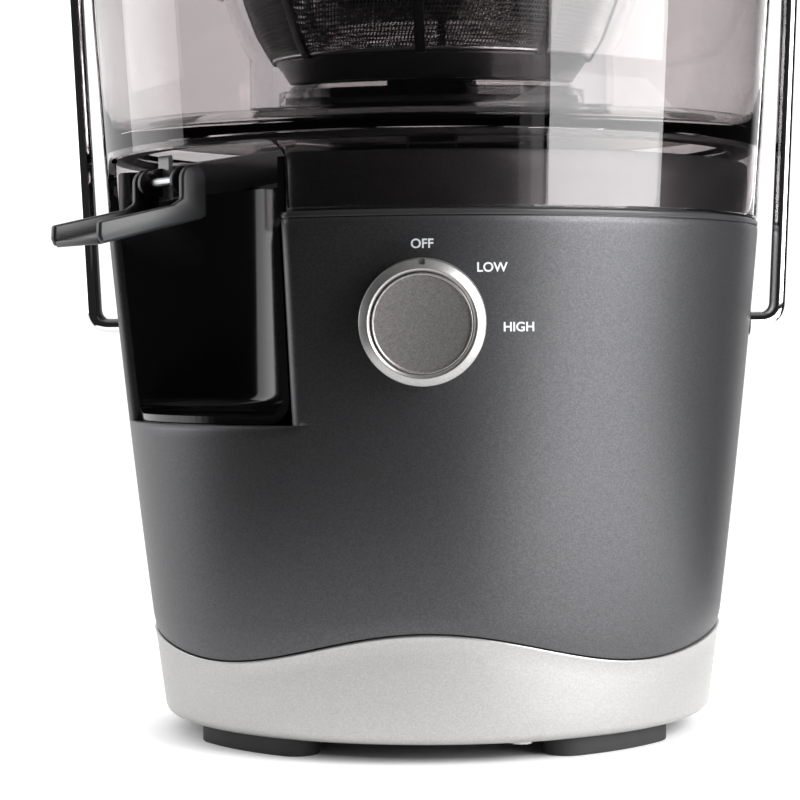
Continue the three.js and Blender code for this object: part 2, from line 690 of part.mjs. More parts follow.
function armHook(side) {
  const shape = outline([[52, 240], [72, 240], [72, 270.4], [60.4, 274.2], [60.4, 280], [52, 280]]);
  const start = side > 0 ? 36 : -50;
  const geometry = extruded(shape, 14).rotateX(Math.PI / 2).rotateZ(Math.PI / 2);
  const beneath = turned([[20, 205], [98, 205], ...domeUnder, [20, 264]], ROUND);
  return cut(solid(geometry.translate(start, 0, 0)), beneath);
}

function juicerLid() {
  const dome = turned([
    ...[...domeUnder].reverse(),
    [98, 229], [100, 229], [100, LID_BOTTOM], [LID_RADIUS, LID_BOTTOM], [LID_RADIUS, 239.6], [106.2, 241],
    [101, 241], [97, 244], [82, 254.8], [61, 263], [46, 266.6], [DOME_BORE, 271],
  ], ROUND);
  return join(dome, armHook(1), armHook(-1));
}

const feedChute = turned([
  [CHUTE_BORE, CHUTE_BOTTOM], [CHUTE_RADIUS, CHUTE_BOTTOM],
  [CHUTE_RADIUS, CHUTE_TOP - 3], [CHUTE_RADIUS + 1.6, CHUTE_TOP - 2], [CHUTE_RADIUS + 1.6, CHUTE_TOP],
  [CHUTE_BORE, CHUTE_TOP],
], ROUND);

addPiece('lid', juicerLid(), smoky);
addPiece('feed_chute', feedChute, smoky);
const lidSealProfile = [[100 + GAP, 231], [102.3, 231], [102.5, 235.4], [100 + GAP, 235.4]];
addPiece('lid_seal', turned(lidSealProfile, ROUND), rubber);

const pusherBody = turned([
  [0, 216], [32, 216], [PUSHER_RADIUS, 219], [PUSHER_RADIUS, CHUTE_TOP + GAP], [41.4, CHUTE_TOP + GAP],
  [41.4, 355], [40.4, 356], [36, 356], [36, 389.7], [33.6, 389.7], [33.2, 222], [31, 219], [0, 219],
], MIDDLE);
addPiece('pusher_body', pusherBody, smoky);
const pusherCap = turned([
  [0, 384], [32.8, 384], [32.8, 390], [36.6, 390], [38, 391.4], [38, 397.5],
  [35.5, OVERALL_HEIGHT], [0, OVERALL_HEIGHT],
], MIDDLE);
addPiece('pusher_cap', pusherCap, charcoal);

// ---- Locking arm -----------------------------------------------------------------------------

const legAt = (height) => ARM_LEG_AT_PIVOT + ARM_LEG_LEAN * (height - ARM_PIVOT_HEIGHT);

// The right half of the rod's centre line, from its inner end to the crossbar.
function armHalf() {
  const point = (x, y, z) => new THREE.Vector3(x, y, z);
  const bendTop = ARM_PIVOT_HEIGHT + ARM_BEND_RADIUS;
  const bendStart = point(ARM_LEG_AT_PIVOT - ARM_BEND_RADIUS, 0, ARM_PIVOT_HEIGHT);
  const corner = point(ARM_LEG_AT_PIVOT, 0, ARM_PIVOT_HEIGHT);
  const bendEnd = point(legAt(bendTop), 0, bendTop);
  const legTop = point(legAt(ARM_LEG_TOP), 0, ARM_LEG_TOP);
  const crossbarEnd = point(CROSSBAR_HALF, CROSSBAR_BACK, CROSSBAR_HEIGHT);
  return [
    [point(ARM_INNER_END, 0, ARM_PIVOT_HEIGHT), bendStart],
    [bendStart, corner, bendEnd],
    [bendEnd, legTop],
    [legTop, point(legAt(274), 0, 274), point(100, CROSSBAR_BACK, CROSSBAR_HEIGHT), crossbarEnd],
  ];
}

function curveThrough(points) {
  const kinds = { 2: THREE.LineCurve3, 3: THREE.QuadraticBezierCurve3, 4: THREE.CubicBezierCurve3 };
  return new kinds[points.length](...points);
}

function lockingArm() {
  const right = armHalf();
  const mirror = (point) => new THREE.Vector3(-point.x, point.y, point.z);
  const left = [...right].reverse().map((points) => [...points].reverse().map(mirror));
  const crossbar = [right[3][3], mirror(right[3][3])];
  const path = new THREE.CurvePath();
  path.curves = [...right, crossbar, ...left].map(curveThrough);
  const section = new THREE.Shape().absarc(0, 0, ARM_ROD_RADIUS, 0, 2 * Math.PI);
  const options = { extrudePath: path, steps: 72, curveSegments: 4, bevelEnabled: false };
  return solid(new THREE.ExtrudeGeometry(section, options));
}

addPiece('locking_arm', lockingArm(), chrome);
const gripProfile = [[2.9, -31], [4.6, -31], [5.5, -29], [5.5, 29], [4.6, 31], [2.9, 31]];
const crossbarCentre = { y: CROSSBAR_BACK, z: CROSSBAR_HEIGHT };
addPiece('arm_grip', turnedAlongX(gripProfile, crossbarCentre, SMALL), mattBlack);

for (const [name, side] of [['arm_retainer_left', -1], ['arm_retainer_right', 1]]) {
  const profile = [[2.9, 86], [5.6, 86], [5.6, 88.4], [2.9, 88.4]];
  const mirrored = profile.map(([radius, along]) => [radius, side * along]);
  addPiece(name, turnedAlongX(mirrored, { y: 0, z: ARM_PIVOT_HEIGHT }, SMALL), steel);
}

export default model;
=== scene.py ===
import json
from math import asin, atan2, cos, degrees, pi, radians, sin, sqrt, tan

import bmesh
import bpy
from mathutils import Matrix, Vector


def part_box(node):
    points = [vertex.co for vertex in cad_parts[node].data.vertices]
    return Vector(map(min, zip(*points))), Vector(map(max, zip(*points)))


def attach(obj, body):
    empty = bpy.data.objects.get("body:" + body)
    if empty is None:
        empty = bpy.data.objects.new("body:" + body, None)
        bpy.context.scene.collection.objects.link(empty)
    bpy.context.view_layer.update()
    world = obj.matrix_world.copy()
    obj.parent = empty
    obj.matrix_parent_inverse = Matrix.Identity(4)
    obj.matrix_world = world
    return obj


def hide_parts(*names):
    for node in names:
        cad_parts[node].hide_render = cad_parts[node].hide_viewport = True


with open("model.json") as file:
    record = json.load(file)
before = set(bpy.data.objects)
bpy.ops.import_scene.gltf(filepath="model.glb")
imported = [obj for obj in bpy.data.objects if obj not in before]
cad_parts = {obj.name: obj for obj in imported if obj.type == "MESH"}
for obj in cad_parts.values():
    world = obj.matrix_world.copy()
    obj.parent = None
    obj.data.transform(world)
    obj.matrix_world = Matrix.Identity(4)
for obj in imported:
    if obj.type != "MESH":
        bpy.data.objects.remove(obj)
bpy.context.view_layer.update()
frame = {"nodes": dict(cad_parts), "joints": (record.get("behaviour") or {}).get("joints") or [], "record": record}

# ---- Sizes, in millimetres, read from the frame where a CAD node holds them ----

MM = 0.001
ROUND = 192  # facets around the big shells
FINE = 96  # facets around smaller turned pieces


def span(node):
    low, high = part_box(node)
    return [value / MM for value in low], [value / MM for value in high]


HOUSING_HIGH = span("base_housing")[1]
BAND_LOW = span("base_band")[0]
DRUM_LOW, DRUM_HIGH = span("pulp_drum")
LID_HIGH = span("lid")[1]
PUSHER_LOW, PUSHER_HIGH = span("pusher_body")
CAP_LOW, CAP_HIGH = span("pusher_cap")
HUB_LOW, HUB_HIGH = span("sieve_hub")
MESH_LOW, MESH_HIGH = span("sieve_mesh")
RIM_LOW, RIM_HIGH = span("sieve_rim")
GRATER_LOW = span("grater_disc")[0]
GRIP_LOW, GRIP_HIGH = span("arm_grip")
KNOB_HIGH = span("knob_body")[1]
CHUTE_LOW, CHUTE_HIGH = span("feed_chute")

JOINTS = {joint["name"]: joint for joint in frame["joints"]}

WALL = 2.5
SHOULDER_RADIUS = HOUSING_HIGH[0]
SHOULDER_TOP = 154.0
NECK_RADIUS = 97.0
NECK_TOP = HOUSING_HIGH[2]
SEAM_GAP = 0.2
SHOULDER_BAND_BOTTOM = 152.2  # a smooth band, with a parting line under it, finishes the shoulder; its darker colour is painted shade on its slope

SPOUT_HEADING = radians(-140)
ALCOVE_DISTANCE = 105.0
ALCOVE_RADIUS = 46.0
ALCOVE_FLOOR = 95.0
ALCOVE_EDGE = 5.0  # radius of the painted edge around the alcove
LINER_INSET = 3.0

DRUM_FLOOR = 178.8
DRUM_FLOOR_UNDER = 176.3
FLOOR_RIM_BOTTOM = 174.0
BOSS_RADIUS = 44.0
BOSS_TOP = 192.0
ARCH_TOP = 173.3
ARCH_HALF_WIDTH = 43.0
ARCH_CORNER = 6.5
ARCH_HEADING = radians(-47.2)  # from the front

SHAFT_HOLE = 9.5

CHUTE_RADIUS = 39.0
CHUTE_BORE = 36.5
CHUTE_TOP = CHUTE_HIGH[2]
CHUTE_BOTTOM = CHUTE_LOW[2]

PIN_DISTANCE = 97.0
PIN_HEIGHT = JOINTS["spout_flip"]["pos_m"][2] / MM
EAR_RADIUS = 4.0
DUCT_HALF_WIDTH = 9.5
DUCT_HALF_BORE = 7.7

MESH_FOOT_RADIUS = 48.9

KNOB_RADIUS = KNOB_HIGH[0]
KNOB_CENTRE = [value / MM for value in JOINTS["knob_turn"]["pos_m"]]
KNOB_AXIS = Vector(JOINTS["knob_turn"]["axis"])

ARM_PIVOT_HEIGHT = JOINTS["arm_swing"]["pos_m"][2] / MM
ROD_RADIUS = 2.49


def body_radius(height):
    """Radius of the base's outer surface, slightly bulged and wider towards the top."""
    return 83.2 + 0.1325 * height - 0.00014 * height * height


def seam_height(angle):
    """Height of the wavy joint between the housing and the band; angle 0 is the front."""
    return 30.7 + 2.1 * cos(2 * angle) + 3.9 * cos(4 * angle) + 0.4 * cos(6 * angle)


def drum_radius(height):
    return SHOULDER_RADIUS + (height - SHOULDER_TOP) / 15


# ---- Camera ----

EYE_DISTANCE = 0.750
EYE_HEIGHT = 0.1165
EYE_AZIMUTH = radians(1.7)  # the object's front is turned slightly to the left of the view
AIM_LEFT = radians(0.82)
AIM_DOWN = radians(1.26)
ROLL = radians(-0.57)
LENS = 108.3


def make_camera():
    camera = bpy.data.objects.new("camera", bpy.data.cameras.new("camera"))
    camera.data.lens = LENS
    camera.data.sensor_width = 36.0
    camera.data.clip_start = 0.01
    camera.location = (
        EYE_DISTANCE * sin(EYE_AZIMUTH),
        -EYE_DISTANCE * cos(EYE_AZIMUTH),
        EYE_HEIGHT,
    )
    turn = Matrix.Rotation(EYE_AZIMUTH + AIM_LEFT, 3, "Z")
    tilt = Matrix.Rotation(pi / 2 - AIM_DOWN, 3, "X")
    roll = Matrix.Rotation(ROLL, 3, "Z")
    camera.rotation_euler = (turn @ tilt @ roll).to_euler()
    bpy.context.scene.collection.objects.link(camera)
    bpy.context.scene.camera = camera


make_camera()

# ---- Mesh helpers ----


def add(name, data):
    """Puts a new object with this data into the scene."""
    made = bpy.data.objects.new(name, data)
    bpy.context.scene.collection.objects.link(made)
    return made


def new_piece(name, vertices, faces, sharp=35):
    """A mesh object from millimetre points, with outward faces and smooth shading."""
    mesh = bpy.data.meshes.new(name)
    mesh.from_pydata([[value * MM for value in vertex] for vertex in vertices], [], faces)
    piece = add(name, mesh)
    tidy(piece, sharp)
    return piece


def tidy(piece, sharp=35):
    """Merges doubled points, turns the faces outward and shades the piece."""
    edit = bmesh.new()
    edit.from_mesh(piece.data)
    bmesh.ops.remove_doubles(edit, verts=edit.verts, dist=1e-7)
    bmesh.ops.recalc_face_normals(edit, faces=edit.faces)
    edit.to_mesh(piece.data)
    edit.free()
    shade(piece.data, sharp)


def shade(mesh, sharp):
    """Smooth shading, with creases where faces meet at more than this many degrees."""
    mesh.shade_smooth()
    mesh.set_sharp_from_angle(angle=radians(sharp))


def evaluated(source):
    """A mesh of the object as its modifiers or its text leave it."""
    depsgraph = bpy.context.evaluated_depsgraph_get()
    return bpy.data.meshes.new_from_object(source.evaluated_get(depsgraph))


def settle(piece, sharp=35):
    """Applies the modifiers and shades the result."""
    mesh = evaluated(piece)
    piece.modifiers.clear()
    piece.data = mesh
    shade(mesh, sharp)


def carve(piece, tool, operation="DIFFERENCE", sharp=35):
    modifier = piece.modifiers.new("carve", "BOOLEAN")
    modifier.operation = operation
    modifier.solver = "EXACT"
    modifier.object = tool
    settle(piece, sharp)
    bpy.data.objects.remove(tool, do_unlink=True)


def bevel(piece, width, sharp=35):
    modifier = piece.modifiers.new("bevel", "BEVEL")
    modifier.width = width * MM
    modifier.segments = 3
    modifier.limit_method = "ANGLE"
    modifier.angle_limit = radians(30)
    settle(piece, sharp)


def arc(centre, radius, start, end, steps):
    """Points on an arc, in degrees, both ends included."""
    points = []
    for step in range(steps + 1):
        angle = radians(start + (end - start) * step / steps)
        points.append((centre[0] + radius * cos(angle), centre[1] + radius * sin(angle)))
    return points


def rounded(corners, steps=4):
    """A closed outline from (across, up) or (across, up, fillet) corners."""
    outline = []
    count = len(corners)
    for index, corner in enumerate(corners):
        here = Vector(corner[:2])
        fillet = corner[2] if len(corner) > 2 else 0
        if not fillet:
            outline.append(tuple(here))
            continue
        before = (Vector(corners[index - 1][:2]) - here).normalized()
        after = (Vector(corners[(index + 1) % count][:2]) - here).normalized()
        half = before.angle(after) / 2
        reach = fillet / tan(half)
        start = here + before * reach
        end = here + after * reach
        centre = here + (before + after).normalized() * (fillet / sin(half))
        for step in range(steps + 1):
            way = (start - centre).lerp(end - centre, step / steps).normalized()
            outline.append(tuple(centre + way * fillet))
    return outline


def revolve(name, corners, segments=FINE, steps=4, sharp=35):
    """A piece turned about Z from (radius, height, fillet) corners of a closed outline."""
    outline = rounded(corners, steps)
    return revolve_by_angle(name, lambda angle: outline, even_angles(segments), sharp)


def even_angles(count):
    return [2 * pi * step / count for step in range(count)]


def revolve_by_angle(name, outline_at, angles, sharp=35):
    """The same with an outline that changes with the angle from the front."""
    vertices = []
    faces = []
    size = len(outline_at(0.0))
    for column, angle in enumerate(angles):
        for radius, height in outline_at(angle):
            vertices.append((radius * sin(angle), -radius * cos(angle), height))
        here = column * size
        there = (column + 1) % len(angles) * size
        for step in range(size):
            after = (step + 1) % size
            faces.append((here + step, there + step, there + after, here + after))
    return new_piece(name, vertices, faces, sharp)


def place(piece, matrix):
    piece.data.transform(matrix)
    piece.data.update()
    return piece


def plate(name, outline, low, high, sharp=35):
    """An outline in X and Z with its thickness along Y."""
    size = len(outline)
    vertices = [(x, low, z) for x, z in outline] + [(x, high, z) for x, z in outline]
    faces = [tuple(range(size)), tuple(range(2 * size - 1, size - 1, -1))]
    for step in range(size):
        after = (step + 1) % size
        faces.append((step, size + step, size + after, after))
    return new_piece(name, vertices, faces, sharp)


def slab(name, outline, low, high, sharp=35):
    """An outline in X and Y with its thickness along Z."""
    piece = plate(name, outline, low, high, sharp)
    for vertex in piece.data.vertices:
        x, y, z = vertex.co
        vertex.co = (x, z, y)
    tidy(piece, sharp)
    return piece


def ring_faces(rings, size):
    """Quads between neighbouring closed rings of the same number of points."""
    faces = []
    for ring in range(rings - 1):
        here = ring * size
        for step in range(size):
            after = (step + 1) % size
            faces.append((here + step, here + after, here + size + after, here + size + step))
    return faces


def merge(name, pieces):
    """Joins pieces into one object of that name."""
    edit = bmesh.new()
    for piece in pieces:
        edit.from_mesh(piece.data)
        bpy.data.objects.remove(piece, do_unlink=True)
    mesh = bpy.data.meshes.new(name)
    edit.to_mesh(mesh)
    edit.free()
    shade(mesh, 35)
    return add(name, mesh)


ALONG_SPOUT = Matrix.Rotation(SPOUT_HEADING, 4, "Z")
ALONG_X = Matrix.Rotation(pi / 2, 4, "Y")

# ---- Materials ----


class Nodes:
    """Makes nodes in one node tree."""

    def __init__(self, tree):
        self.tree = tree

    def node(self, kind, inputs=None, **settings):
        """A node with these settings; an input is a fixed value or another node's output."""
        made = self.tree.nodes.new(kind)
        for key, value in settings.items():
            setattr(made, key, value)
        for socket, value in (inputs or {}).items():
            if isinstance(value, bpy.types.NodeSocket):
                self.tree.links.new(value, made.inputs[socket])
            else:
                made.inputs[socket].default_value = value
        return made

    def spread(self, factor, low, high, start=0.0, end=1.0, easing="LINEAR"):
        """A number from low to high while the factor goes from start to end."""
        inputs = {"Value": factor, "From Min": start, "From Max": end, "To Min": low, "To Max": high}
        return self.node("ShaderNodeMapRange", inputs, interpolation_type=easing).outputs["Result"]


class Surface(Nodes):
    """A material made of nodes around one Principled shader."""

    def __init__(self, name, **values):
        self.material = bpy.data.materials.new(name)
        self.material.use_nodes = True
        super().__init__(self.material.node_tree)
        self.shader = self.tree.nodes["Principled BSDF"]
        for socket, value in values.items():
            self.shader.inputs[socket.replace("_", " ")].default_value = value
        self.where = self.node("ShaderNodeTexCoord").outputs["Object"]

    def stretched(self, scale):
        return self.node("ShaderNodeMapping", {"Vector": self.where, "Scale": scale}).outputs["Vector"]

    def noise(self, scale, detail=3.0, vector=None):
        inputs = {"Vector": vector or self.where, "Scale": scale, "Detail": detail}
        return self.node("ShaderNodeTexNoise", inputs).outputs["Fac"]

    def cells(self, scale):
        made = self.node("ShaderNodeTexVoronoi", {"Vector": self.where, "Scale": scale})
        split = self.node("ShaderNodeSeparateColor", {"Color": made.outputs["Color"]})
        return split.outputs["Red"]

    def bands(self, scale, distortion=0.0):
        inputs = {"Vector": self.where, "Scale": scale, "Distortion": distortion}
        return self.node("ShaderNodeTexWave", inputs, bands_direction="Z").outputs["Fac"]

    def ramp(self, factor, low, high):
        """A colour between low and high."""
        made = self.node("ShaderNodeValToRGB", {"Fac": factor})
        for element, colour in zip(made.color_ramp.elements, (low, high)):
            element.color = (*colour, 1.0)
        return made.outputs["Color"]

    def drive(self, socket, value):
        self.tree.links.new(value, self.shader.inputs[socket])

    def bump(self, height, strength, distance):
        inputs = {"Height": height, "Strength": strength, "Distance": distance * MM}
        self.drive("Normal", self.node("ShaderNodeBump", inputs).outputs["Normal"])


def grey(value):
    return (value, value, value)


def flake_paint():
    """Charcoal paint with fine metallic flakes."""
    paint = Surface("charcoal_flake_paint", Metallic=0.8)
    flakes = paint.cells(3400.0)
    paint.drive("Base Color", paint.ramp(flakes, (0.070, 0.070, 0.074), (0.104, 0.104, 0.109)))
    paint.drive("Roughness", paint.spread(paint.noise(900.0), 0.36, 0.44))
    paint.bump(flakes, 0.05, 0.03)
    return paint.material


def satin_silver(name, low, high):
    """Silver paint with fine flakes."""
    silver = Surface(name, Metallic=0.85)
    flakes = silver.cells(3600.0)
    silver.drive("Base Color", silver.ramp(flakes, low, high))
    silver.drive("Roughness", silver.spread(silver.noise(700.0), 0.34, 0.44))
    silver.bump(flakes, 0.05, 0.02)
    return silver.material


def moulded(name, colour, low, high, grain=900.0, depth=0.05):
    """Moulded plastic or rubber with a fine grain and slightly uneven gloss."""
    plastic = Surface(name)
    mottle = plastic.noise(60.0, 2.0)
    darker = [0.85 * value for value in colour]
    lighter = [1.12 * value for value in colour]
    plastic.drive("Base Color", plastic.ramp(mottle, darker, lighter))
    plastic.drive("Roughness", plastic.spread(plastic.noise(35.0, 4.0), low, high))
    plastic.bump(plastic.noise(grain, 4.0), 0.25, depth)
    return plastic.material


def chrome():
    metal = Surface("polished_chrome", Metallic=1.0)
    haze = metal.noise(45.0, 4.0)
    metal.drive("Base Color", metal.ramp(haze, grey(0.74), grey(0.84)))
    metal.drive("Roughness", metal.spread(haze, 0.04, 0.10))
    return metal.material


def brushed(name, colour, low=0.24, high=0.42):
    """Metal with fine turning marks."""
    metal = Surface(name, Metallic=1.0)
    lines = metal.noise(1.0, 3.0, metal.stretched((30.0, 30.0, 2600.0)))
    darker = [0.8 * value for value in colour]
    lighter = [1.1 * value for value in colour]
    metal.drive("Base Color", metal.ramp(lines, darker, lighter))
    metal.drive("Roughness", metal.spread(lines, low, high))
    metal.bump(lines, 0.15, 0.02)
    return metal.material


def winding():
    """Enamelled copper wire laid in turns."""
    wire = Surface("enamelled_wire", Metallic=0.8)
    turns = wire.bands(260.0, 0.6)
    wire.drive("Base Color", wire.ramp(turns, (0.20, 0.07, 0.025), (0.52, 0.21, 0.08)))
    wire.drive("Roughness", wire.spread(turns, 0.5, 0.3))
    wire.bump(turns, 0.6, 0.3)
    return wire.material


def laminated():
    """Stacked steel sheets."""
    iron = Surface("laminated_iron", Metallic=0.85)
    sheets = iron.bands(320.0)
    iron.drive("Base Color", iron.ramp(sheets, grey(0.09), grey(0.17)))
    iron.drive("Roughness", iron.spread(iron.noise(80.0), 0.45, 0.62))
    iron.bump(sheets, 0.3, 0.1)
    return iron.material


def circuit_board():
    resin = Surface("board_resin")
    tracks = resin.cells(420.0)
    resin.drive("Base Color", resin.ramp(tracks, (0.012, 0.07, 0.028), (0.03, 0.14, 0.055)))
    resin.drive("Roughness", resin.spread(tracks, 0.35, 0.55))
    return resin.material


def see_through(name, tint, low, high, index=1.45):
    """Clear moulded plastic; the tint deepens slightly in places and the gloss is a little uneven."""
    plastic = Surface(name, Transmission_Weight=1.0, IOR=index)
    haze = plastic.noise(14.0, 3.0)
    plastic.drive("Base Color", plastic.ramp(haze, [0.96 * value for value in tint], tint))
    plastic.drive("Roughness", plastic.spread(plastic.noise(40.0, 4.0), low, high))
    plastic.bump(plastic.noise(22.0, 2.0), 0.05, 0.05)
    return plastic.material


PAINT = flake_paint()
SILVER = satin_silver("satin_silver_paint", (0.40, 0.396, 0.39), (0.49, 0.484, 0.477))
DARK_SILVER = satin_silver("dark_silver_paint", (0.36, 0.345, 0.34), (0.56, 0.535, 0.53))
GLOSS_BLACK = moulded("gloss_black_plastic", (0.010, 0.010, 0.011), 0.06, 0.13, 300.0, 0.01)
MATT_BLACK = moulded("matt_black_plastic", (0.020, 0.020, 0.021), 0.42, 0.60)
SOFT_BLACK = moulded("satin_black_plastic", (0.030, 0.031, 0.033), 0.30, 0.42)
RUBBER = moulded("black_rubber", (0.022, 0.022, 0.023), 0.62, 0.85, 500.0, 0.10)
PRINT = moulded("printed_white", (0.72, 0.74, 0.76), 0.45, 0.6, 1500.0, 0.01)
CHROME = chrome()
STEEL = brushed("turned_steel", (0.52, 0.53, 0.54))
SIEVE_STEEL = brushed("sieve_steel", (0.20, 0.20, 0.20), 0.3, 0.45)
COPPER = winding()
IRON = laminated()
BOARD = circuit_board()
SMOKY = see_through("smoky_plastic", (0.70, 0.662, 0.668), 0.0, 0.02)
CLEAR = see_through("clear_plastic", (0.95, 0.955, 0.96), 0.0, 0.02, 1.18)
# Painted light: pale grey stands in for the light from above on the clear nozzle lip.
NOZZLE_PAINTED_LIGHT = moulded("nozzle_painted_light", (0.55, 0.55, 0.56), 0.12, 0.2, 900.0, 0.01)
# Painted shade: a darker satin for the shoulder band, standing in for the shade on its slope.
SHOULDER_PAINTED_SHADE = moulded("shoulder_painted_shade", (0.032, 0.032, 0.034), 0.28, 0.38, 1200.0, 0.01)


def dress(piece, material, body, slot, *nodes):
    """Gives a piece its material and its body, and hides the CAD nodes that it stands for; the slot is not used.
    """
    piece.data.materials.clear()
    piece.data.materials.append(material)
    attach(piece, body)
    if nodes:
        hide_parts(*nodes)


# ---- Base housing ----

BODY_STEPS = 216  # points on the long way round, outside the alcove
EDGE_STEPS = 10  # points on each rounded edge of the alcove
SCOOP_STEPS = 60
INSIDE_STEPS = 2 * EDGE_STEPS + SCOOP_STEPS - 1
FIRST_LEVEL_ROW = 50.0


def alcove_outline(radius):
    """Plan of the housing where the alcove cuts it, in the spout's frame, for one body radius."""
    reach = ALCOVE_RADIUS + ALCOVE_EDGE
    inner = radius - ALCOVE_EDGE
    along = (ALCOVE_DISTANCE ** 2 + inner ** 2 - reach ** 2) / (2 * ALCOVE_DISTANCE)
    across = sqrt(inner ** 2 - along ** 2)
    tangent = atan2(across, along)
    edge_centre = Vector((along, across))
    scoop_centre = Vector((ALCOVE_DISTANCE, 0.0))
    towards = (edge_centre - scoop_centre).normalized()
    start = degrees(tangent)
    end = degrees(atan2(-towards.y, -towards.x))
    if end > 0:
        end -= 360
    body = arc((0, 0), radius, start, 360 - start, BODY_STEPS - 1)
    edge = arc(edge_centre, ALCOVE_EDGE, start, end, EDGE_STEPS)
    scoop_start = degrees(atan2(towards.y, towards.x))
    scoop = arc(scoop_centre, ALCOVE_RADIUS, scoop_start, 360 - scoop_start, SCOOP_STEPS)
    lower_edge = [(x, -y) for x, y in edge]
    inside = lower_edge[1:] + list(reversed(scoop))[1:-1] + list(reversed(edge))[:-1]
    return body, inside, tangent


def closed_arc(radius, tangent, count, inset=0.0):
    """The same number of points across the alcove's mouth, on the body's own circle or inset from it."""
    points = []
    for step in range(count):
        angle = -tangent + 2 * tangent * (step + 1) / (count + 1)
        from_end = min(step + 1, count - step)
        reach = radius - inset * min(1.0, from_end / EDGE_STEPS)
        points.append((reach * cos(angle), reach * sin(angle)))
    return points


def housing_rows():
    """Rows of (height outside the alcove, height inside, radius, inset at its mouth, share of scoop)."""
    rows = [(height, height, None, 0.0, 0.0) for height in (FIRST_LEVEL_ROW, 58, 66, 74, 82, 88, 91)]
    lip = 2.0
    steps = 4
    for step in range(steps + 1):
        angle = pi / 2 * step / steps
        height = ALCOVE_FLOOR - lip + lip * sin(angle)
        rows.append((height, height, None, lip * (1 - cos(angle)), 0.0))
    steps = 8
    for step in range(1, steps + 1):
        rows.append((ALCOVE_FLOOR + 0.1 * step, ALCOVE_FLOOR, None, lip, step / steps))
    for height in (97, 101, 107, 114, 121, 128, 135, 142, 147, 150):
        rows.append((height, height, None, 0.0, 1.0))
    groove = ((-0.5, 0.05), (-0.3, 0.2), (-0.25, 0.7), (0.0, 0.7), (0.05, 0.2), (0.3, 0.05))
    for rise, depth in groove:
        height = SHOULDER_BAND_BOTTOM + rise
        rows.append((height, height, SHOULDER_RADIUS - depth, 0.0, 1.0))
    round_over = 0.8
    for angle in (0, 30, 60, 90):
        height = SHOULDER_TOP - round_over + round_over * sin(radians(angle))
        radius = SHOULDER_RADIUS - round_over + round_over * cos(radians(angle))
        rows.append((height, height, radius, 0.0, 1.0))
    for height in (SHOULDER_TOP, SHOULDER_TOP + 0.5, 158, 164, NECK_TOP - 0.5):
        rows.append((height, height, NECK_RADIUS, 0.0, 1.0))
    rows.append((NECK_TOP, NECK_TOP, NECK_RADIUS - 0.5, 0.0, 1.0))
    return rows


def seam_rows(directions):
    """Points from the wavy lower edge, slightly rounded inward, up to the first level row."""
    steps = 5
    points = []
    for step in range(steps):
        for direction in directions:
            seam = seam_height(direction + SPOUT_HEADING + pi / 2) + SEAM_GAP
            height = seam + (FIRST_LEVEL_ROW - seam) * step / steps
            radius = body_radius(height) - (0.35 if step == 0 else 0.0)
            points.append((radius * cos(direction), radius * sin(direction), height))
    return points


def level_row(row, directions, tangent_low):
    """Points of one row from housing_rows: first the body, then the mouth or wall of the alcove."""
    body_height, inside_height, radius, inset, share = row
    row_radius = radius or body_radius(body_height)
    if share == 0.0 and inset == 0.0 and body_height < ALCOVE_FLOOR - 3:
        outside = directions[:BODY_STEPS]
        body = [(row_radius * cos(angle), row_radius * sin(angle)) for angle in outside]
        inside = closed_arc(row_radius, tangent_low, INSIDE_STEPS)
    else:
        body, scooped, tangent = alcove_outline(row_radius)
        mouth = closed_arc(row_radius, tangent, INSIDE_STEPS, inset)
        inside = []
        for (x0, y0), (x1, y1) in zip(mouth, scooped):
            inside.append((x0 + (x1 - x0) * share, y0 + (y1 - y0) * share))
    outer = [(x, y, body_height) for x, y in body]
    return outer + [(x, y, inside_height) for x, y in inside]


def base_housing():
    body_low, _, tangent_low = alcove_outline(body_radius(ALCOVE_FLOOR))
    directions = [atan2(y, x) for x, y in body_low]
    directions += [atan2(y, x) for x, y in closed_arc(1.0, tangent_low, INSIDE_STEPS)]
    points = seam_rows(directions)
    for row in housing_rows():
        points += level_row(row, directions, tangent_low)
    to_frame = ALONG_SPOUT.to_3x3()
    vertices = [to_frame @ Vector(point) for point in points]
    faces = ring_faces(len(vertices) // len(directions), len(directions))
    shell = new_piece("housing_shell", vertices, faces, 50)
    thickness = shell.modifiers.new("thickness", "SOLIDIFY")
    thickness.thickness = WALL * MM
    thickness.offset = -1.0
    thickness.thickness_clamp = 1.5  # keeps the shell's corners from growing spikes
    settle(shell, 50)
    dress(shell, PAINT, "base", "housing_paint", "base_housing")
    # The shoulder band's faces get the darker satin material, which paints the shade on the band's slope.
    shell.data.materials.append(SHOULDER_PAINTED_SHADE)
    for face in shell.data.polygons:
        if SHOULDER_BAND_BOTTOM - 0.27 < face.center.z / MM < SHOULDER_TOP + 0.1:
            face.material_index = 1


def base_band():
    bottom = BAND_LOW[2]
    corner = 3.0
    low_radius = body_radius(bottom)

    def outline(heading):
        top = seam_height(heading) - SEAM_GAP
        points = [(low_radius - corner - 3, bottom + 0.6), (low_radius - corner - 0.6, bottom)]
        for angle in (-90, -74, -58, -42, -26, -10):
            turn = radians(angle)
            points.append((
                body_radius(bottom + corner) - corner + corner * cos(turn),
                bottom + corner + corner * sin(turn),
            ))
        for share in (0.25, 0.5, 0.75, 0.93):
            height = bottom + corner + (top - bottom - corner) * share
            points.append((body_radius(height), height))
        proud = body_radius(top) + 0.2
        for inset, below in ((0.1, 0.75), (0.0, 0.45), (0.1, 0.12), (0.4, 0.0)):
            points.append((proud - inset, top - below))
        points += [(body_radius(top) - WALL, top), (low_radius - WALL, bottom + corner)]
        return points

    band = revolve_by_angle("band_shell", outline, even_angles(240), 40)
    dress(band, SILVER, "base", "satin_silver", "base_band")


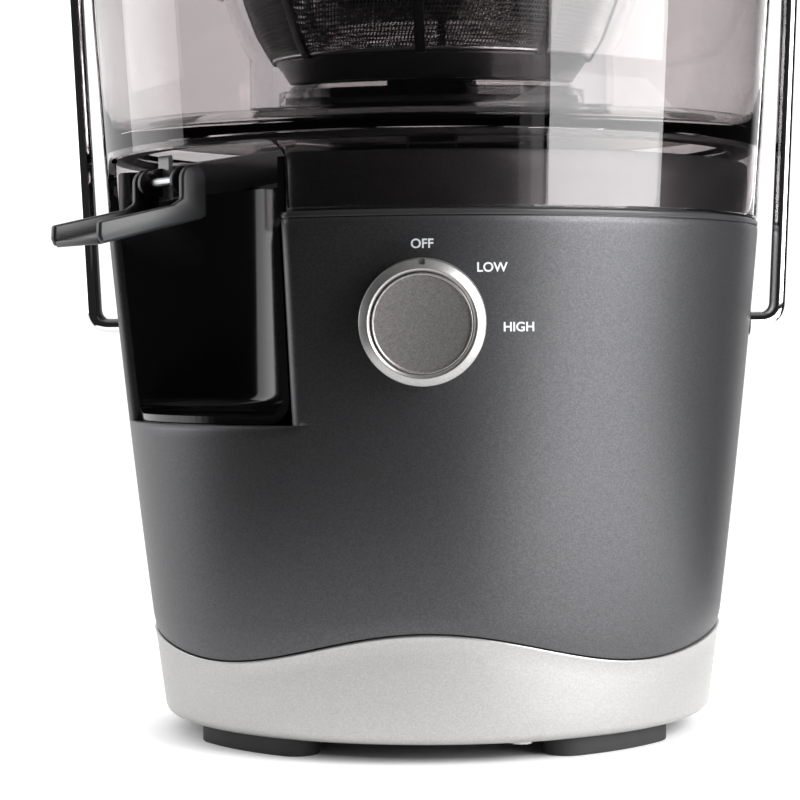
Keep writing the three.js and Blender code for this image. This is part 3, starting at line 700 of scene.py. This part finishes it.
def alcove_liner():
    """A glossy black scoop with a rounded foot, set back from the housing's surface."""
    outer = ALCOVE_RADIUS - 0.3
    inner = outer - 2.0
    floor = ALCOVE_FLOOR + 0.3
    top = 169.5
    corners = [(0, floor), (outer, floor, 7.0), (outer, top)]
    corners += [(inner, top), (inner, floor + 2, 6.0), (0, floor + 2)]
    cup = revolve("liner_shell", corners, 160, 6)
    place(cup, ALONG_SPOUT @ Matrix.Translation((ALCOVE_DISTANCE * MM, 0, 0)))
    limit = [(0, 90)]
    limit += [(body_radius(height) - LINER_INSET, height) for height in range(90, 151, 10)]
    limit += [(NECK_RADIUS - LINER_INSET, SHOULDER_TOP), (NECK_RADIUS - LINER_INSET, 175), (0, 175)]
    carve(cup, revolve("limit", limit, ROUND), "INTERSECT")
    notch = plate("notch", [(46, 163.8), (70, 163.8), (70, 200), (46, 200)], -10.2, 10.2)
    carve(cup, place(notch, ALONG_SPOUT))
    dress(cup, GLOSS_BLACK, "base", "gloss_black", "alcove_liner")


# ---- Feet and small base pieces ----


def foot(node):
    low, high = span(node)
    centre = atan2((low[1] + high[1]) / 2, (low[0] + high[0]) / 2)
    middle = 73.0
    half_width = 6.8
    half_span = radians(13)
    outline = []
    for radius, start, end in (
        (middle + half_width, centre - half_span, centre + half_span),
        (middle - half_width, centre + half_span, centre - half_span),
    ):
        outline += arc((0, 0), radius, degrees(start), degrees(end), 14)
        tip = (middle * cos(end), middle * sin(end))
        turn = degrees(end) if radius > middle else degrees(end) + 180
        outline += arc(tip, half_width, turn, turn + 180, 10)[1:-1]
    pad = slab(node + "_pad", outline, 0.0, high[2])
    bevel(pad, 0.8)
    dress(pad, RUBBER, "base", "rubber", node)


def cord_gland():
    """A rubber bush around the empty cord hole at the back."""
    low, high = span("cord_gland")
    bore = 3.8
    neck = 6.0
    head = 7.4
    flange = 7.8
    corners = [(bore, low[1]), (flange, low[1], 0.4), (flange, low[1] + 1.6, 0.4), (neck, low[1] + 1.6)]
    corners += [(neck, 87.0), (head, 87.2, 0.1), (head, high[1], 1.0), (bore, high[1], 0.6)]
    gland = revolve("gland_bush", corners, 48)
    height = (low[2] + high[2]) / 2 * MM
    place(gland, Matrix.Translation((0, 0, height)) @ Matrix.Rotation(-pi / 2, 4, "X"))
    dress(gland, RUBBER, "base", "rubber", "cord_gland")


# ---- Speed knob ----


def knob():
    """A bevelled ring with a pointer notch around a dished face."""
    to_wall = Vector((0, 0, -1)).rotation_difference(KNOB_AXIS).to_matrix().to_4x4()
    seat = Matrix.Translation([value * MM for value in KNOB_CENTRE]) @ to_wall
    ring_corners = [
        (13.9, 4.6), (13.9, 7.35, 0.15), (14.9, 8.1, 0.3), (KNOB_RADIUS, 6.2, 0.7),
        (KNOB_RADIUS, 0.6, 0.4), (15.0, 0.6, 0.3), (15.0, 4.6),
    ]
    ring = revolve("knob_ring", ring_corners, 128, 5)
    notch = slab("notch", [(-0.9, 15.75), (0.9, 15.75), (0.9, 18.2), (-0.9, 18.2)], 4.6, 9.5)
    carve(ring, notch)
    dish = [(0, 6.75)]
    dish += [(radius, 6.75 + 0.75 * (radius / 13.0) ** 2) for radius in (2, 4, 6, 8, 10, 11.8, 13.0)]
    face_corners = [*dish, (13.3, 7.95, 0.12), (13.68, 7.95, 0.15), (13.7, 6.4), (0, 5.6)]
    face = revolve("knob_dish", face_corners, 128, 4)
    for piece in (ring, face):
        place(piece, seat)
    dress(ring, SILVER, "knob", "satin_silver", "knob_body")
    dress(face, DARK_SILVER, "knob", "satin_silver", "knob_face")


def dial_mark(word, across, up):
    """A generic dial word printed on the housing beside the knob."""
    text = bpy.data.curves.new("mark", "FONT")
    text.body = word
    text.align_x = "CENTER"
    text.align_y = "CENTER"
    text.size = 3.55 * MM
    text.extrude = 0.03 * MM
    text.offset = 0.07 * MM
    stencil = add("stencil", text)
    mesh = evaluated(stencil)
    bpy.data.objects.remove(stencil, do_unlink=True)
    for vertex in mesh.vertices:
        x = vertex.co.x / MM + across
        z = vertex.co.y / MM + KNOB_CENTRE[2] + up
        depth = sqrt(body_radius(z) ** 2 - x ** 2) + 0.05 + vertex.co.z / MM
        vertex.co = (x * MM, -depth * MM, z * MM)
    dress(add("dial_mark_" + word.lower(), mesh), PRINT, "base", "satin_silver")


# ---- Pulp drum ----


def arch_bottom(across):
    """Height of the skirt's lower edge at a distance across the arch."""
    side = abs(across)
    if side > ARCH_HALF_WIDTH:
        return DRUM_LOW[2]
    straight = ARCH_HALF_WIDTH - ARCH_CORNER
    if side <= straight:
        return ARCH_TOP
    return ARCH_TOP - ARCH_CORNER + sqrt(ARCH_CORNER ** 2 - (side - straight) ** 2)


def drum_angles():
    """Even columns, with more of them at the arch's corners and a pair on each of its sides."""
    mouth = []
    straight = ARCH_HALF_WIDTH - ARCH_CORNER
    for step in range(9):
        turn = pi / 2 * step / 8
        mouth.append(straight + ARCH_CORNER * sin(turn))
    mouth.append(ARCH_HALF_WIDTH + 0.02)
    near = [asin(across / SHOULDER_RADIUS) for across in mouth]
    angles = [ARCH_HEADING + side * angle for side in (-1, 1) for angle in near]
    for angle in even_angles(ROUND):
        wrapped = (angle - ARCH_HEADING + pi) % (2 * pi) - pi
        if not near[0] - 0.012 < abs(wrapped) < near[-1] + 0.012:
            angles.append(angle)
    return sorted(angle % (2 * pi) for angle in angles)


def drum_inside():
    """The drum's profile from its rim inward over its floor and boss and back under the floor."""
    top = DRUM_HIGH[2]
    rim = drum_radius(top)
    boss_bore = BOSS_RADIUS - WALL
    return [
        (rim - 0.5, top), (rim - WALL + 0.4, top), (rim - WALL, top - 1),
        (drum_radius(200) - WALL, 200), (drum_radius(183) - WALL, 183),
        (drum_radius(180) - WALL - 1.2, 180), (drum_radius(179) - WALL - 4, DRUM_FLOOR),
        (BOSS_RADIUS + 1.5, DRUM_FLOOR), (BOSS_RADIUS + 0.2, DRUM_FLOOR + 1.5),
        (BOSS_RADIUS, BOSS_TOP - 2.5), (BOSS_RADIUS - 0.7, BOSS_TOP - 0.7), (BOSS_RADIUS - 2.5, BOSS_TOP),
        (SHAFT_HOLE, BOSS_TOP), (SHAFT_HOLE, BOSS_TOP - WALL),
        (boss_bore, BOSS_TOP - WALL), (boss_bore, DRUM_FLOOR_UNDER),
        (drum_radius(176) - WALL - 0.6, DRUM_FLOOR_UNDER), (drum_radius(175.5) - WALL, 175.6),
    ]


def pulp_drum():
    inside = drum_inside()

    def outline(angle):
        wrapped = (angle - ARCH_HEADING + pi) % (2 * pi) - pi
        across = SHOULDER_RADIUS * sin(wrapped) if abs(wrapped) < 1.2 else SHOULDER_RADIUS
        low = arch_bottom(across)
        points = [(drum_radius(low) - 0.5, low), (drum_radius(low + 0.5), low + 0.5)]
        for share in (0.1, 0.4, 0.7):
            height = low + 0.5 + (174.2 - low) * share
            points.append((drum_radius(height), height))
        points += [(drum_radius(height), height) for height in (176, 190, 210, DRUM_HIGH[2] - 3)]
        points += inside
        for share in (0.7, 0.4, 0.1):
            height = low + 0.5 + (174.0 - low) * share
            points.append((drum_radius(height) - WALL, height))
        points.append((drum_radius(low) - WALL + 0.3, low))
        return points

    drum = revolve_by_angle("drum_shell", outline, drum_angles(), 40)
    slot = plate("slot", [(45.5, 170), (58.5, 170), (58.5, 185), (45.5, 185)], -10, 10)
    carve(drum, place(slot, ALONG_SPOUT), sharp=40)
    dress(drum, SMOKY, "base", "smoky_clear", "pulp_drum", "drum_floor")


def floor_rim_painted_shade():
    """A black ring under the rim of the drum's floor; it paints the shade under the rim, where the floor's edge
    looks dark through the skirt.
    """
    inner = 92
    outer = drum_radius(174) - WALL - 0.15
    top = DRUM_FLOOR_UNDER - 0.1
    corners = [(inner, FLOOR_RIM_BOTTOM, 0.4), (outer, FLOOR_RIM_BOTTOM, 0.4), (outer, 175.4, 0.2)]
    corners += [(outer - 1, top), (inner, top)]
    rim_shade = revolve("floor_rim_painted_shade", corners, ROUND)
    dress(rim_shade, MATT_BLACK, "base", "matt_black")


def boss_lining():
    """A black cup inside the boss, open for the shaft."""
    outer = BOSS_RADIUS - WALL - 0.1
    inner = outer - 1.2
    top = 189.3
    corners = [(inner, 177), (outer, 177), (outer, top, 0.5)]
    corners += [(SHAFT_HOLE + 0.3, top), (SHAFT_HOLE + 0.3, top - 1.2), (inner, top - 1.2)]
    lining = revolve("boss_lining", corners, 128)
    dress(lining, MATT_BLACK, "base", "matt_black")


# ---- Juice bowl and spout ----


def juice_bowl():
    """A clear ring-shaped trough with a drain over the duct."""
    bowl = revolve("bowl_shell", [
        (45.6, 179.1, 0.4), (56, 179.1, 1.5), (56, 203.5, 4), (67.3, 229, 0.4), (65.5, 229, 0.4),
        (54.2, 204, 4), (54.2, 180.9, 1.2), (47.2, 180.9, 1), (47.2, 189, 0.6), (45.6, 189, 0.4),
    ], 144)
    drain = [(48, 178), (54, 178), (54, 182), (48, 182)]
    carve(bowl, plate("drain", drain, -DUCT_HALF_BORE, DUCT_HALF_BORE))
    dress(bowl, CLEAR, "base", "clear", "juice_bowl")


def juice_duct():
    """A square duct from the drain down to the alcove, with two lugs for the spout's pin."""
    outer = [(46.2, 168, 1.5), (92, 160, 0.5), (92, 169.5, 1.5), (58, 175.2, 2), (58, 180), (46.2, 180)]
    inner = [(48, 170), (93, 162.1), (93, 167.4), (54, 173.9), (54, 182), (48, 182)]
    duct = plate("duct", rounded(outer), -DUCT_HALF_WIDTH, DUCT_HALF_WIDTH)
    bore = plate("bore", inner, -DUCT_HALF_BORE, DUCT_HALF_BORE)
    place(duct, ALONG_SPOUT)
    place(bore, ALONG_SPOUT)
    carve(duct, bore)
    lugs = [duct]
    for low in (-DUCT_HALF_WIDTH, DUCT_HALF_BORE):
        lug = plate("lug", ear_outline(88, 161, 169.8), low, low + DUCT_HALF_WIDTH - DUCT_HALF_BORE)
        bevel(lug, 0.3)
        lugs.append(place(lug, ALONG_SPOUT))
    channel = merge("juice_duct", lugs)
    dress(channel, SOFT_BLACK, "base", "gloss_black")


def nozzle_lip():
    """An upright edge at the duct's outlet, painted pale grey for the light that falls on the clear nozzle from
    above.
    """
    outline = [(92.2, 159.6, 0.4), (93.6, 159.6, 0.4), (93.6, 172.6, 0.6), (92.2, 172.6, 0.4)]
    lip = plate("nozzle_lip", rounded(outline), -9.9, -4.3)
    place(lip, ALONG_SPOUT)
    dress(lip, NOZZLE_PAINTED_LIGHT, "base", "clear")


def ear_outline(back, low, high):
    """A tongue that ends in a half circle around the hinge pin."""
    nose = arc((PIN_DISTANCE, PIN_HEIGHT), EAR_RADIUS, -90, 90, 16)
    return [(back, low), *nose, (back, high)]


def juice_spout():
    """A tipping trough between two upright ears with round tops."""
    ears = []
    crown = arc((PIN_DISTANCE, PIN_HEIGHT), EAR_RADIUS, 0, 180, 20)
    outline = [(93.0, 154.0), (127.0, 145.9), (128.0, 148.0)]
    outline += [(127.8, 151.8), (104.0, 157.0), (101.0, 158.8)]
    thickness = 2.5
    for low in (-12.7, 12.4):
        ear = plate("ear", [*outline, *crown], low, low + thickness, 30)
        bevel(ear, 0.7, 30)
        ears.append(ear)
    trough = [(93, 153.5), (127, 145.5), (127.6, 147.5), (95, 155.3), (95, 158), (93, 158)]
    bottom = plate("bottom", trough, -11, 13)
    bevel(bottom, 0.5, 30)
    spout = merge("spout_shell", [*ears, bottom])
    place(spout, ALONG_SPOUT)
    dress(spout, SOFT_BLACK, "spout", "gloss_black", "spout")


# ---- Sieve ----


def sieve_mesh():
    """A cone of fine woven wire."""
    around = 300
    up = 27
    twist = 0.35
    wire = 0.62
    low = MESH_LOW[2]
    high = MESH_HIGH[2]
    low_radius = MESH_FOOT_RADIUS - 0.45
    high_radius = MESH_HIGH[0] - 0.45
    vertices = []
    for row in range(up + 1):
        share = row / up
        radius = low_radius + (high_radius - low_radius) * share
        for step in range(around):
            angle = 2 * pi * (step + twist * row) / around
            height = low + (high - low) * share
            vertices.append((radius * cos(angle), radius * sin(angle), height))
    weave = new_piece("sieve_weave", vertices, ring_faces(up + 1, around))
    wires = weave.modifiers.new("wires", "WIREFRAME")
    wires.thickness = wire * MM
    wires.use_even_offset = False
    settle(weave)
    dress(weave, SIEVE_STEEL, "rotor", "sieve_steel", "sieve_mesh")


def sieve_ribs():
    """Upright bars moulded onto the outside of the mesh."""
    low = MESH_LOW[2] - 1.5
    high = MESH_HIGH[2] + 0.5
    slope = (MESH_HIGH[0] - MESH_FOOT_RADIUS) / (MESH_HIGH[2] - MESH_LOW[2])
    foot_radius = MESH_FOOT_RADIUS + slope * (low - MESH_LOW[2])
    head_radius = MESH_FOOT_RADIUS + slope * (high - MESH_LOW[2])
    depth = 0.9
    outline = rounded([
        (foot_radius - depth, low), (foot_radius + depth, low, 0.4),
        (head_radius + depth, high, 0.4), (head_radius - depth, high),
    ])
    half_width = 1.5
    ribs = []
    for index in range(8):
        rib = plate("rib", outline, -half_width, half_width)
        bevel(rib, 0.3)
        ribs.append(place(rib, Matrix.Rotation(radians(45 * index - 2), 4, "Z")))
    dress(merge("sieve_ribs", ribs), SOFT_BLACK, "rotor", "matt_black")


def sieve_hub():
    top = HUB_HIGH[2]
    skirt = BOSS_TOP + 0.4
    hub = revolve("hub_shell", [
        (0, top), (HUB_HIGH[0], top, 0.5), (HUB_HIGH[0], 200.8, 0.5), (44.6, 194.6, 0.8),
        (43.6, skirt, 0.3), (40, skirt), (40, HUB_LOW[2]), (8.4, HUB_LOW[2], 0.3), (8.4, 199.6), (0, 199.6),
    ], 128)
    dress(hub, SOFT_BLACK, "rotor", "matt_black", "sieve_hub")


def sieve_rim():
    inner = 61.4
    outer = RIM_HIGH[0]
    corners = [(inner, RIM_LOW[2], 0.3), (outer, RIM_LOW[2], 0.4)]
    corners += [(outer, RIM_HIGH[2], 0.9), (inner, RIM_HIGH[2], 0.5)]
    dress(revolve("rim_shell", corners, 128), STEEL, "rotor", "sieve_steel", "sieve_rim")


def mesh_foot():
    """A steel ring that clamps the mesh to the hub."""
    inner = HUB_HIGH[0]
    low = 202.1
    high = 203.0
    corners = [(inner, low, 0.1), (inner + 1.2, low, 0.2), (inner + 1.3, high, 0.2), (inner, high, 0.1)]
    dress(revolve("mesh_foot", corners, 144), STEEL, "rotor", "sieve_steel")


def grater():
    """A steel disc with rows of small raised teeth and a centre cap."""
    low = GRATER_LOW[2]
    top = low + 1.0
    rim = 47.2
    corners = [(0, low), (rim, low, 0.3), (rim, top, 0.3)]
    corners += [(9, top, 0.5), (7.5, top + 3, 0.8), (0, top + 3)]
    parts = [revolve("disc", corners, 128)]
    for ring in range(6):
        radius = 13 + 6.2 * ring
        count = 8 + 5 * ring
        for step in range(count):
            angle = 2 * pi * (step + 0.5 * (ring % 2)) / count
            parts.append(tooth(radius, angle, top))
    dress(merge("grater_teeth", parts), STEEL, "rotor", "sieve_steel", "grater_disc")


def tooth(radius, angle, top):
    """A punched tooth: a small ramp with its sharp edge facing the spin."""
    half_width = 1.1
    length = 2.6
    height = 1.9
    narrowing = 0.45
    profile = [(0, 0), (length, 0), (length * 0.92, height), (length * 0.8, height)]
    piece = plate("tooth", profile, -half_width, half_width)
    for vertex in piece.data.vertices:
        if vertex.co.z > height / 2 * MM:
            vertex.co.y *= narrowing
    turn = Matrix.Rotation(angle, 4, "Z") @ Matrix.Translation((radius * MM, 0, (top - 0.1) * MM))
    return place(piece, turn @ Matrix.Rotation(pi / 2, 4, "Z"))


# ---- Lid and pusher ----

DOME_UNDER = [(98, 238.5), (95, 242, 3), (80, 252, 20), (60, 260, 20), (CHUTE_RADIUS, 264)]


def lid():
    """A dome with the feed chute in its middle."""
    rim = LID_HIGH[0]
    bottom = 236.3
    bead = CHUTE_RADIUS + 1.6
    shell = revolve("lid_shell", [
        (CHUTE_BORE, CHUTE_BOTTOM, 0.5), (CHUTE_RADIUS, CHUTE_BOTTOM, 0.5),
        *reversed(DOME_UNDER),
        (98, 229, 0.5), (100, 229, 0.5), (100, bottom), (rim, bottom, 0.6), (rim, 241, 1.6),
        (100.5, 241, 1.5), (97, 244, 3), (82, 254.8, 20), (61, 263, 20), (46, 266.6, 4),
        (CHUTE_RADIUS, 271, 2), (CHUTE_RADIUS, CHUTE_TOP - 3, 0.5), (bead, CHUTE_TOP - 2, 0.4),
        (bead, CHUTE_TOP, 0.5), (CHUTE_BORE, CHUTE_TOP, 0.7),
    ], ROUND)
    dress(shell, SMOKY, "base", "smoky_clear", "lid", "feed_chute")


def lid_hook(start):
    """A catch for the crossbar, standing on the back of the dome."""
    width = 14
    rise = 0.6  # the hook's root lies this far above the dome's underside
    outline = [(52, 240), (72, 240), (72, 270.4, 1), (60.4, 274.2, 1), (60.4, 280, 1), (52, 280, 2)]
    hook = plate("hook", rounded(outline), start, start + width)
    place(hook, Matrix.Rotation(pi / 2, 4, "Z"))
    for vertex in hook.data.vertices:
        vertex.co.x = -vertex.co.x
    tidy(hook)
    beneath = [(20, 205), (98, 205), *[corner[:2] for corner in DOME_UNDER], (20, 264)]
    carve(hook, revolve("beneath", [(radius, height + rise) for radius, height in beneath], ROUND))
    bevel(hook, 0.5)
    return hook


def lid_hooks():
    catches = merge("lid_hooks", [lid_hook(start) for start in (-50, 36)])
    dress(catches, SOFT_BLACK, "base", "matt_black")


def pusher():
    """A hollow plunger whose flange rests on the chute."""
    radius = 35.4
    flange = PUSHER_HIGH[0]
    seat = CHUTE_TOP + 0.3
    top = PUSHER_HIGH[2]
    body = revolve("pusher_shell", [
        (0, PUSHER_LOW[2]), (radius, PUSHER_LOW[2], 2.5), (radius, seat), (flange, seat, 0.4),
        (flange, 356, 1.0), (36, 356, 0.6), (36, top, 0.3), (33.6, top, 0.3), (33.2, 222, 1.5),
        (31, 219), (0, 219),
    ], 144)
    dress(body, SMOKY, "pusher", "smoky_clear", "pusher_body")


def pusher_cap():
    """A plug with a shallow dish on top."""
    plug = 32.8
    edge = CAP_HIGH[0]
    top = CAP_HIGH[2]
    dish = top - 1.2
    cap = revolve("pusher_lid", [
        (0, CAP_LOW[2]), (plug, CAP_LOW[2], 0.5), (plug, 390), (edge, 390, 1.0), (edge, top, 3.0),
        (30, top, 4.0), (27, dish, 4.0), (0, dish),
    ], 144, 6)
    dress(cap, PAINT, "pusher", "housing_paint", "pusher_cap")


# ---- Locking arm ----

LEG_LEAN = 0.0467
LEG_AT_PIVOT = 106.1
LEG_TOP = 240.0
BEND = 5.0


def leg_at(height):
    return LEG_AT_PIVOT + LEG_LEAN * (height - ARM_PIVOT_HEIGHT)


def bezier(points, steps):
    """Points along a Bezier curve, without its first point."""
    along = []
    for step in range(1, steps + 1):
        row = [Vector(point) for point in points]
        while len(row) > 1:
            row = [here.lerp(after, step / steps) for here, after in zip(row, row[1:])]
        along.append(row[0])
    return along


def arm_path():
    """Centre line of the rod's right half, from its inner end to the crossbar."""
    back = (GRIP_LOW[1] + GRIP_HIGH[1]) / 2
    height = (GRIP_LOW[2] + GRIP_HIGH[2]) / 2
    pivot = ARM_PIVOT_HEIGHT
    inner = (84.0, 0, pivot)
    bend_start = (LEG_AT_PIVOT - BEND, 0, pivot)
    bend_end = (leg_at(pivot + BEND), 0, pivot + BEND)
    leg_top = (leg_at(LEG_TOP), 0, LEG_TOP)
    path = [Vector(inner), *bezier([inner, bend_start], 4)]
    path += bezier([bend_start, (LEG_AT_PIVOT, 0, pivot), bend_end], 12)
    path += bezier([bend_end, leg_top], 12)
    path += bezier([leg_top, (leg_at(274), 0, 274), (100, back, height), (60, back, height)], 40)
    return path


def sweep(name, path, radius, sides=24):
    """A round rod along a path, with rounded ends."""
    vertices = []
    side = Vector((0, 1, 0))
    tangents = []
    for index in range(len(path)):
        before = path[max(index - 1, 0)]
        after = path[min(index + 1, len(path) - 1)]
        tangents.append((after - before).normalized())
    rings = [(path[0], tangents[0], 0.7)]
    rings += [(path[0] + tangents[0] * 0.5, tangents[0], 1.0)]
    rings += [(point, tangent, 1.0) for point, tangent in zip(path[1:-1], tangents[1:-1])]
    rings += [(path[-1] - tangents[-1] * 0.5, tangents[-1], 1.0), (path[-1], tangents[-1], 0.7)]
    for centre, tangent, share in rings:
        side = (side - tangent * side.dot(tangent)).normalized()
        other = tangent.cross(side)
        for step in range(sides):
            angle = 2 * pi * step / sides
            vertices.append(centre + (side * cos(angle) + other * sin(angle)) * radius * share)
    faces = ring_faces(len(rings), sides)
    faces.append(tuple(range(sides)))
    faces.append(tuple(len(vertices) - sides + step for step in range(sides)))
    return new_piece(name, vertices, faces, 50)


def locking_arm():
    right = arm_path()
    left = [Vector((-point.x, point.y, point.z)) for point in reversed(right)]
    crossbar = bezier([right[-1], left[0]], 12)[:-1]
    rod = sweep("arm_rod", [*right, *crossbar, *left], ROD_RADIUS)
    dress(rod, CHROME, "arm", "chrome", "locking_arm")


def arm_grip():
    """A ribbed soft sleeve on the crossbar."""
    half = GRIP_HIGH[0]
    radius = (GRIP_HIGH[2] - GRIP_LOW[2]) / 2
    corners = [(2.9, -half), (radius - 0.9, -half, 0.6), (radius, -half + 2.0, 0.6)]
    rib_count = 13
    pitch = 3.6
    for rib in range(rib_count):
        middle = (rib - (rib_count - 1) / 2) * pitch
        corners += [(radius, middle - 0.9, 0.3), (radius - 0.6, middle - 0.5, 0.2)]
        corners += [(radius - 0.6, middle + 0.5, 0.2), (radius, middle + 0.9, 0.3)]
    corners += [(radius, half - 2.0, 0.6), (radius - 0.9, half, 0.6), (2.9, half)]
    grip = revolve("grip_sleeve", corners, 48, 2)
    back = (GRIP_LOW[1] + GRIP_HIGH[1]) / 2 * MM
    height = (GRIP_LOW[2] + GRIP_HIGH[2]) / 2 * MM
    place(grip, Matrix.Translation((0, back, height)) @ ALONG_X)
    dress(grip, RUBBER, "arm", "soft_grip", "arm_grip")


# ---- CAD nodes that stay ----

KEPT_LOOKS = {
    "housing_paint": PAINT,
    "satin_silver": SILVER,
    "gloss_black": GLOSS_BLACK,
    "matt_black": MATT_BLACK,
    "soft_grip": RUBBER,
    "rubber": RUBBER,
    "chrome": CHROME,
    "steel": STEEL,
    "sieve_steel": SIEVE_STEEL,
    "motor_iron": IRON,
    "copper_winding": COPPER,
    "circuit_board": BOARD,
    "smoky_clear": SMOKY,
    "clear": CLEAR,
}


def dress_kept_nodes():
    slots = {part["node"]: part["material_slot"] for part in frame["record"]["subparts"]}
    for node, piece in frame["nodes"].items():
        piece.data.materials.clear()
        piece.data.materials.append(KEPT_LOOKS[slots[node]])


# ---- Studio ----

FRONT_GLOW = 0.02
BACK_GLOW = 1.15
TABLE_RADIUS = 0.24
TABLE_GLOW = 0.68
GLOW_START = 0.070
GLOW_FULL = 0.096
BOX_DISTANCE = 1.0
KEY_LOW = 0.09
KEY_HIGH = 1.10


def floor():
    """A round pale table that glows around the object and is plain paper beneath it."""
    sides = 144
    rim = arc((0, 0), TABLE_RADIUS / MM, 0, 360 - 360 / sides, sides - 1)
    stand = new_piece("floor", [(x, y, 0) for x, y in rim], [tuple(range(sides))])
    paper = Surface("pale_paper")
    paper.drive("Base Color", paper.ramp(paper.noise(3.0), grey(0.86), grey(0.90)))
    paper.drive("Roughness", paper.spread(paper.noise(8.0), 0.55, 0.7))
    paper.shader.inputs["Emission Color"].default_value = (1.0, 1.0, 1.0, 1.0)
    distance = paper.node("ShaderNodeVectorMath", {"Vector": paper.where}, operation="LENGTH")
    glow = paper.spread(distance.outputs["Value"], 0.0, TABLE_GLOW, GLOW_START, GLOW_FULL)
    paper.drive("Emission Strength", glow)
    stand.data.materials.append(paper.material)


def area_light(name, width, height, radiance, location, turn):
    """A rectangular light of even radiance that the camera doesn't see."""
    data = bpy.data.lights.new(name, "AREA")
    data.shape = "RECTANGLE"
    data.size = width
    data.size_y = height
    data.energy = radiance * pi * width * height
    light = add(name, data)
    light.location = location
    light.rotation_euler = turn
    light.visible_camera = False


def softbox(name, azimuth, width, low, high, radiance):
    """An upright light that faces the drive axis; azimuth 0 is the front and 90 the right."""
    turn = radians(azimuth)
    location = (BOX_DISTANCE * sin(turn), -BOX_DISTANCE * cos(turn), (low + high) / 2)
    area_light(name, width, high - low, radiance, location, (pi / 2, 0, turn))


def reflector():
    """A bright card on the key light's side, beside the table and just below its level, facing up."""
    turn = radians(60)
    distance = 0.50
    location = (distance * sin(turn), -distance * cos(turn), -0.01)
    area_light("reflector", 0.44, 0.56, 4.0, location, (pi, 0, turn))


def backdrop():
    """White behind the object; reflections of the room in front of it and to its right are dark.

    Camera rays, and rays that only pass through the clear plastic, see plain white all round.
    """
    world = bpy.data.worlds.new("studio")
    world.use_nodes = True
    bpy.context.scene.world = world
    nodes = Nodes(world.node_tree)

    def calculate(operation, first, second):
        return nodes.node("ShaderNodeMath", {0: first, 1: second}, operation=operation).outputs["Value"]

    heading = nodes.node("ShaderNodeTexCoord").outputs["Generated"]
    split = nodes.node("ShaderNodeSeparateXYZ", {"Vector": heading})
    right = calculate("MULTIPLY", calculate("MAXIMUM", split.outputs["X"], 0.0), 1.3)
    back = calculate("SUBTRACT", split.outputs["Y"], right)
    behind = nodes.spread(back, FRONT_GLOW, BACK_GLOW, 0.0, 0.3, "SMOOTHSTEP")
    above = nodes.spread(split.outputs["Z"], 0.0, 0.2, 0.4, 1.0, "SMOOTHSTEP")
    path = nodes.node("ShaderNodeLightPath").outputs
    bounces = calculate("SUBTRACT", path["Ray Depth"], path["Transmission Depth"])
    only_through = calculate("LESS_THAN", bounces, 1.5)  # meeting the world counts as one bounce
    straight = calculate("MULTIPLY", path["Is Transmission Ray"], only_through)
    seen = calculate("MAXIMUM", path["Is Camera Ray"], straight)
    plain = calculate("MULTIPLY", seen, BACK_GLOW)
    lit = calculate("MULTIPLY", calculate("SUBTRACT", 1.0, seen), calculate("ADD", behind, above))
    background = nodes.tree.nodes["Background"]
    background.inputs["Color"].default_value = (1.0, 1.0, 1.0, 1.0)
    nodes.tree.links.new(calculate("ADD", plain, lit), background.inputs["Strength"])


def studio():
    bpy.context.scene.view_settings.view_transform = "Standard"
    backdrop()
    softbox("key", 60.4, 0.78, KEY_LOW, KEY_HIGH, 9.0)
    reflector()
    softbox("key_edge", 35.2, 0.07, KEY_LOW, KEY_HIGH, 1.1)
    softbox("key_fringe", 31.2, 0.07, KEY_LOW, KEY_HIGH, 0.5)
    softbox("fill", -102, 0.55, 0.02, 0.60, 1.8)
    floor()


base_housing()
base_band()
alcove_liner()
for end in ("front", "rear"):
    for side in ("left", "right"):
        foot(f"foot_{end}_{side}")
cord_gland()
knob()
dial_mark("OFF", 0.0, 20.8)
dial_mark("LOW", 18.8, 14.3)
dial_mark("HIGH", 26.0, -1.9)
pulp_drum()
floor_rim_painted_shade()
boss_lining()
juice_bowl()
juice_duct()
nozzle_lip()
juice_spout()
sieve_mesh()
sieve_ribs()
sieve_hub()
sieve_rim()
mesh_foot()
grater()
lid()
lid_hooks()
pusher()
pusher_cap()
locking_arm()
arm_grip()
dress_kept_nodes()
studio()
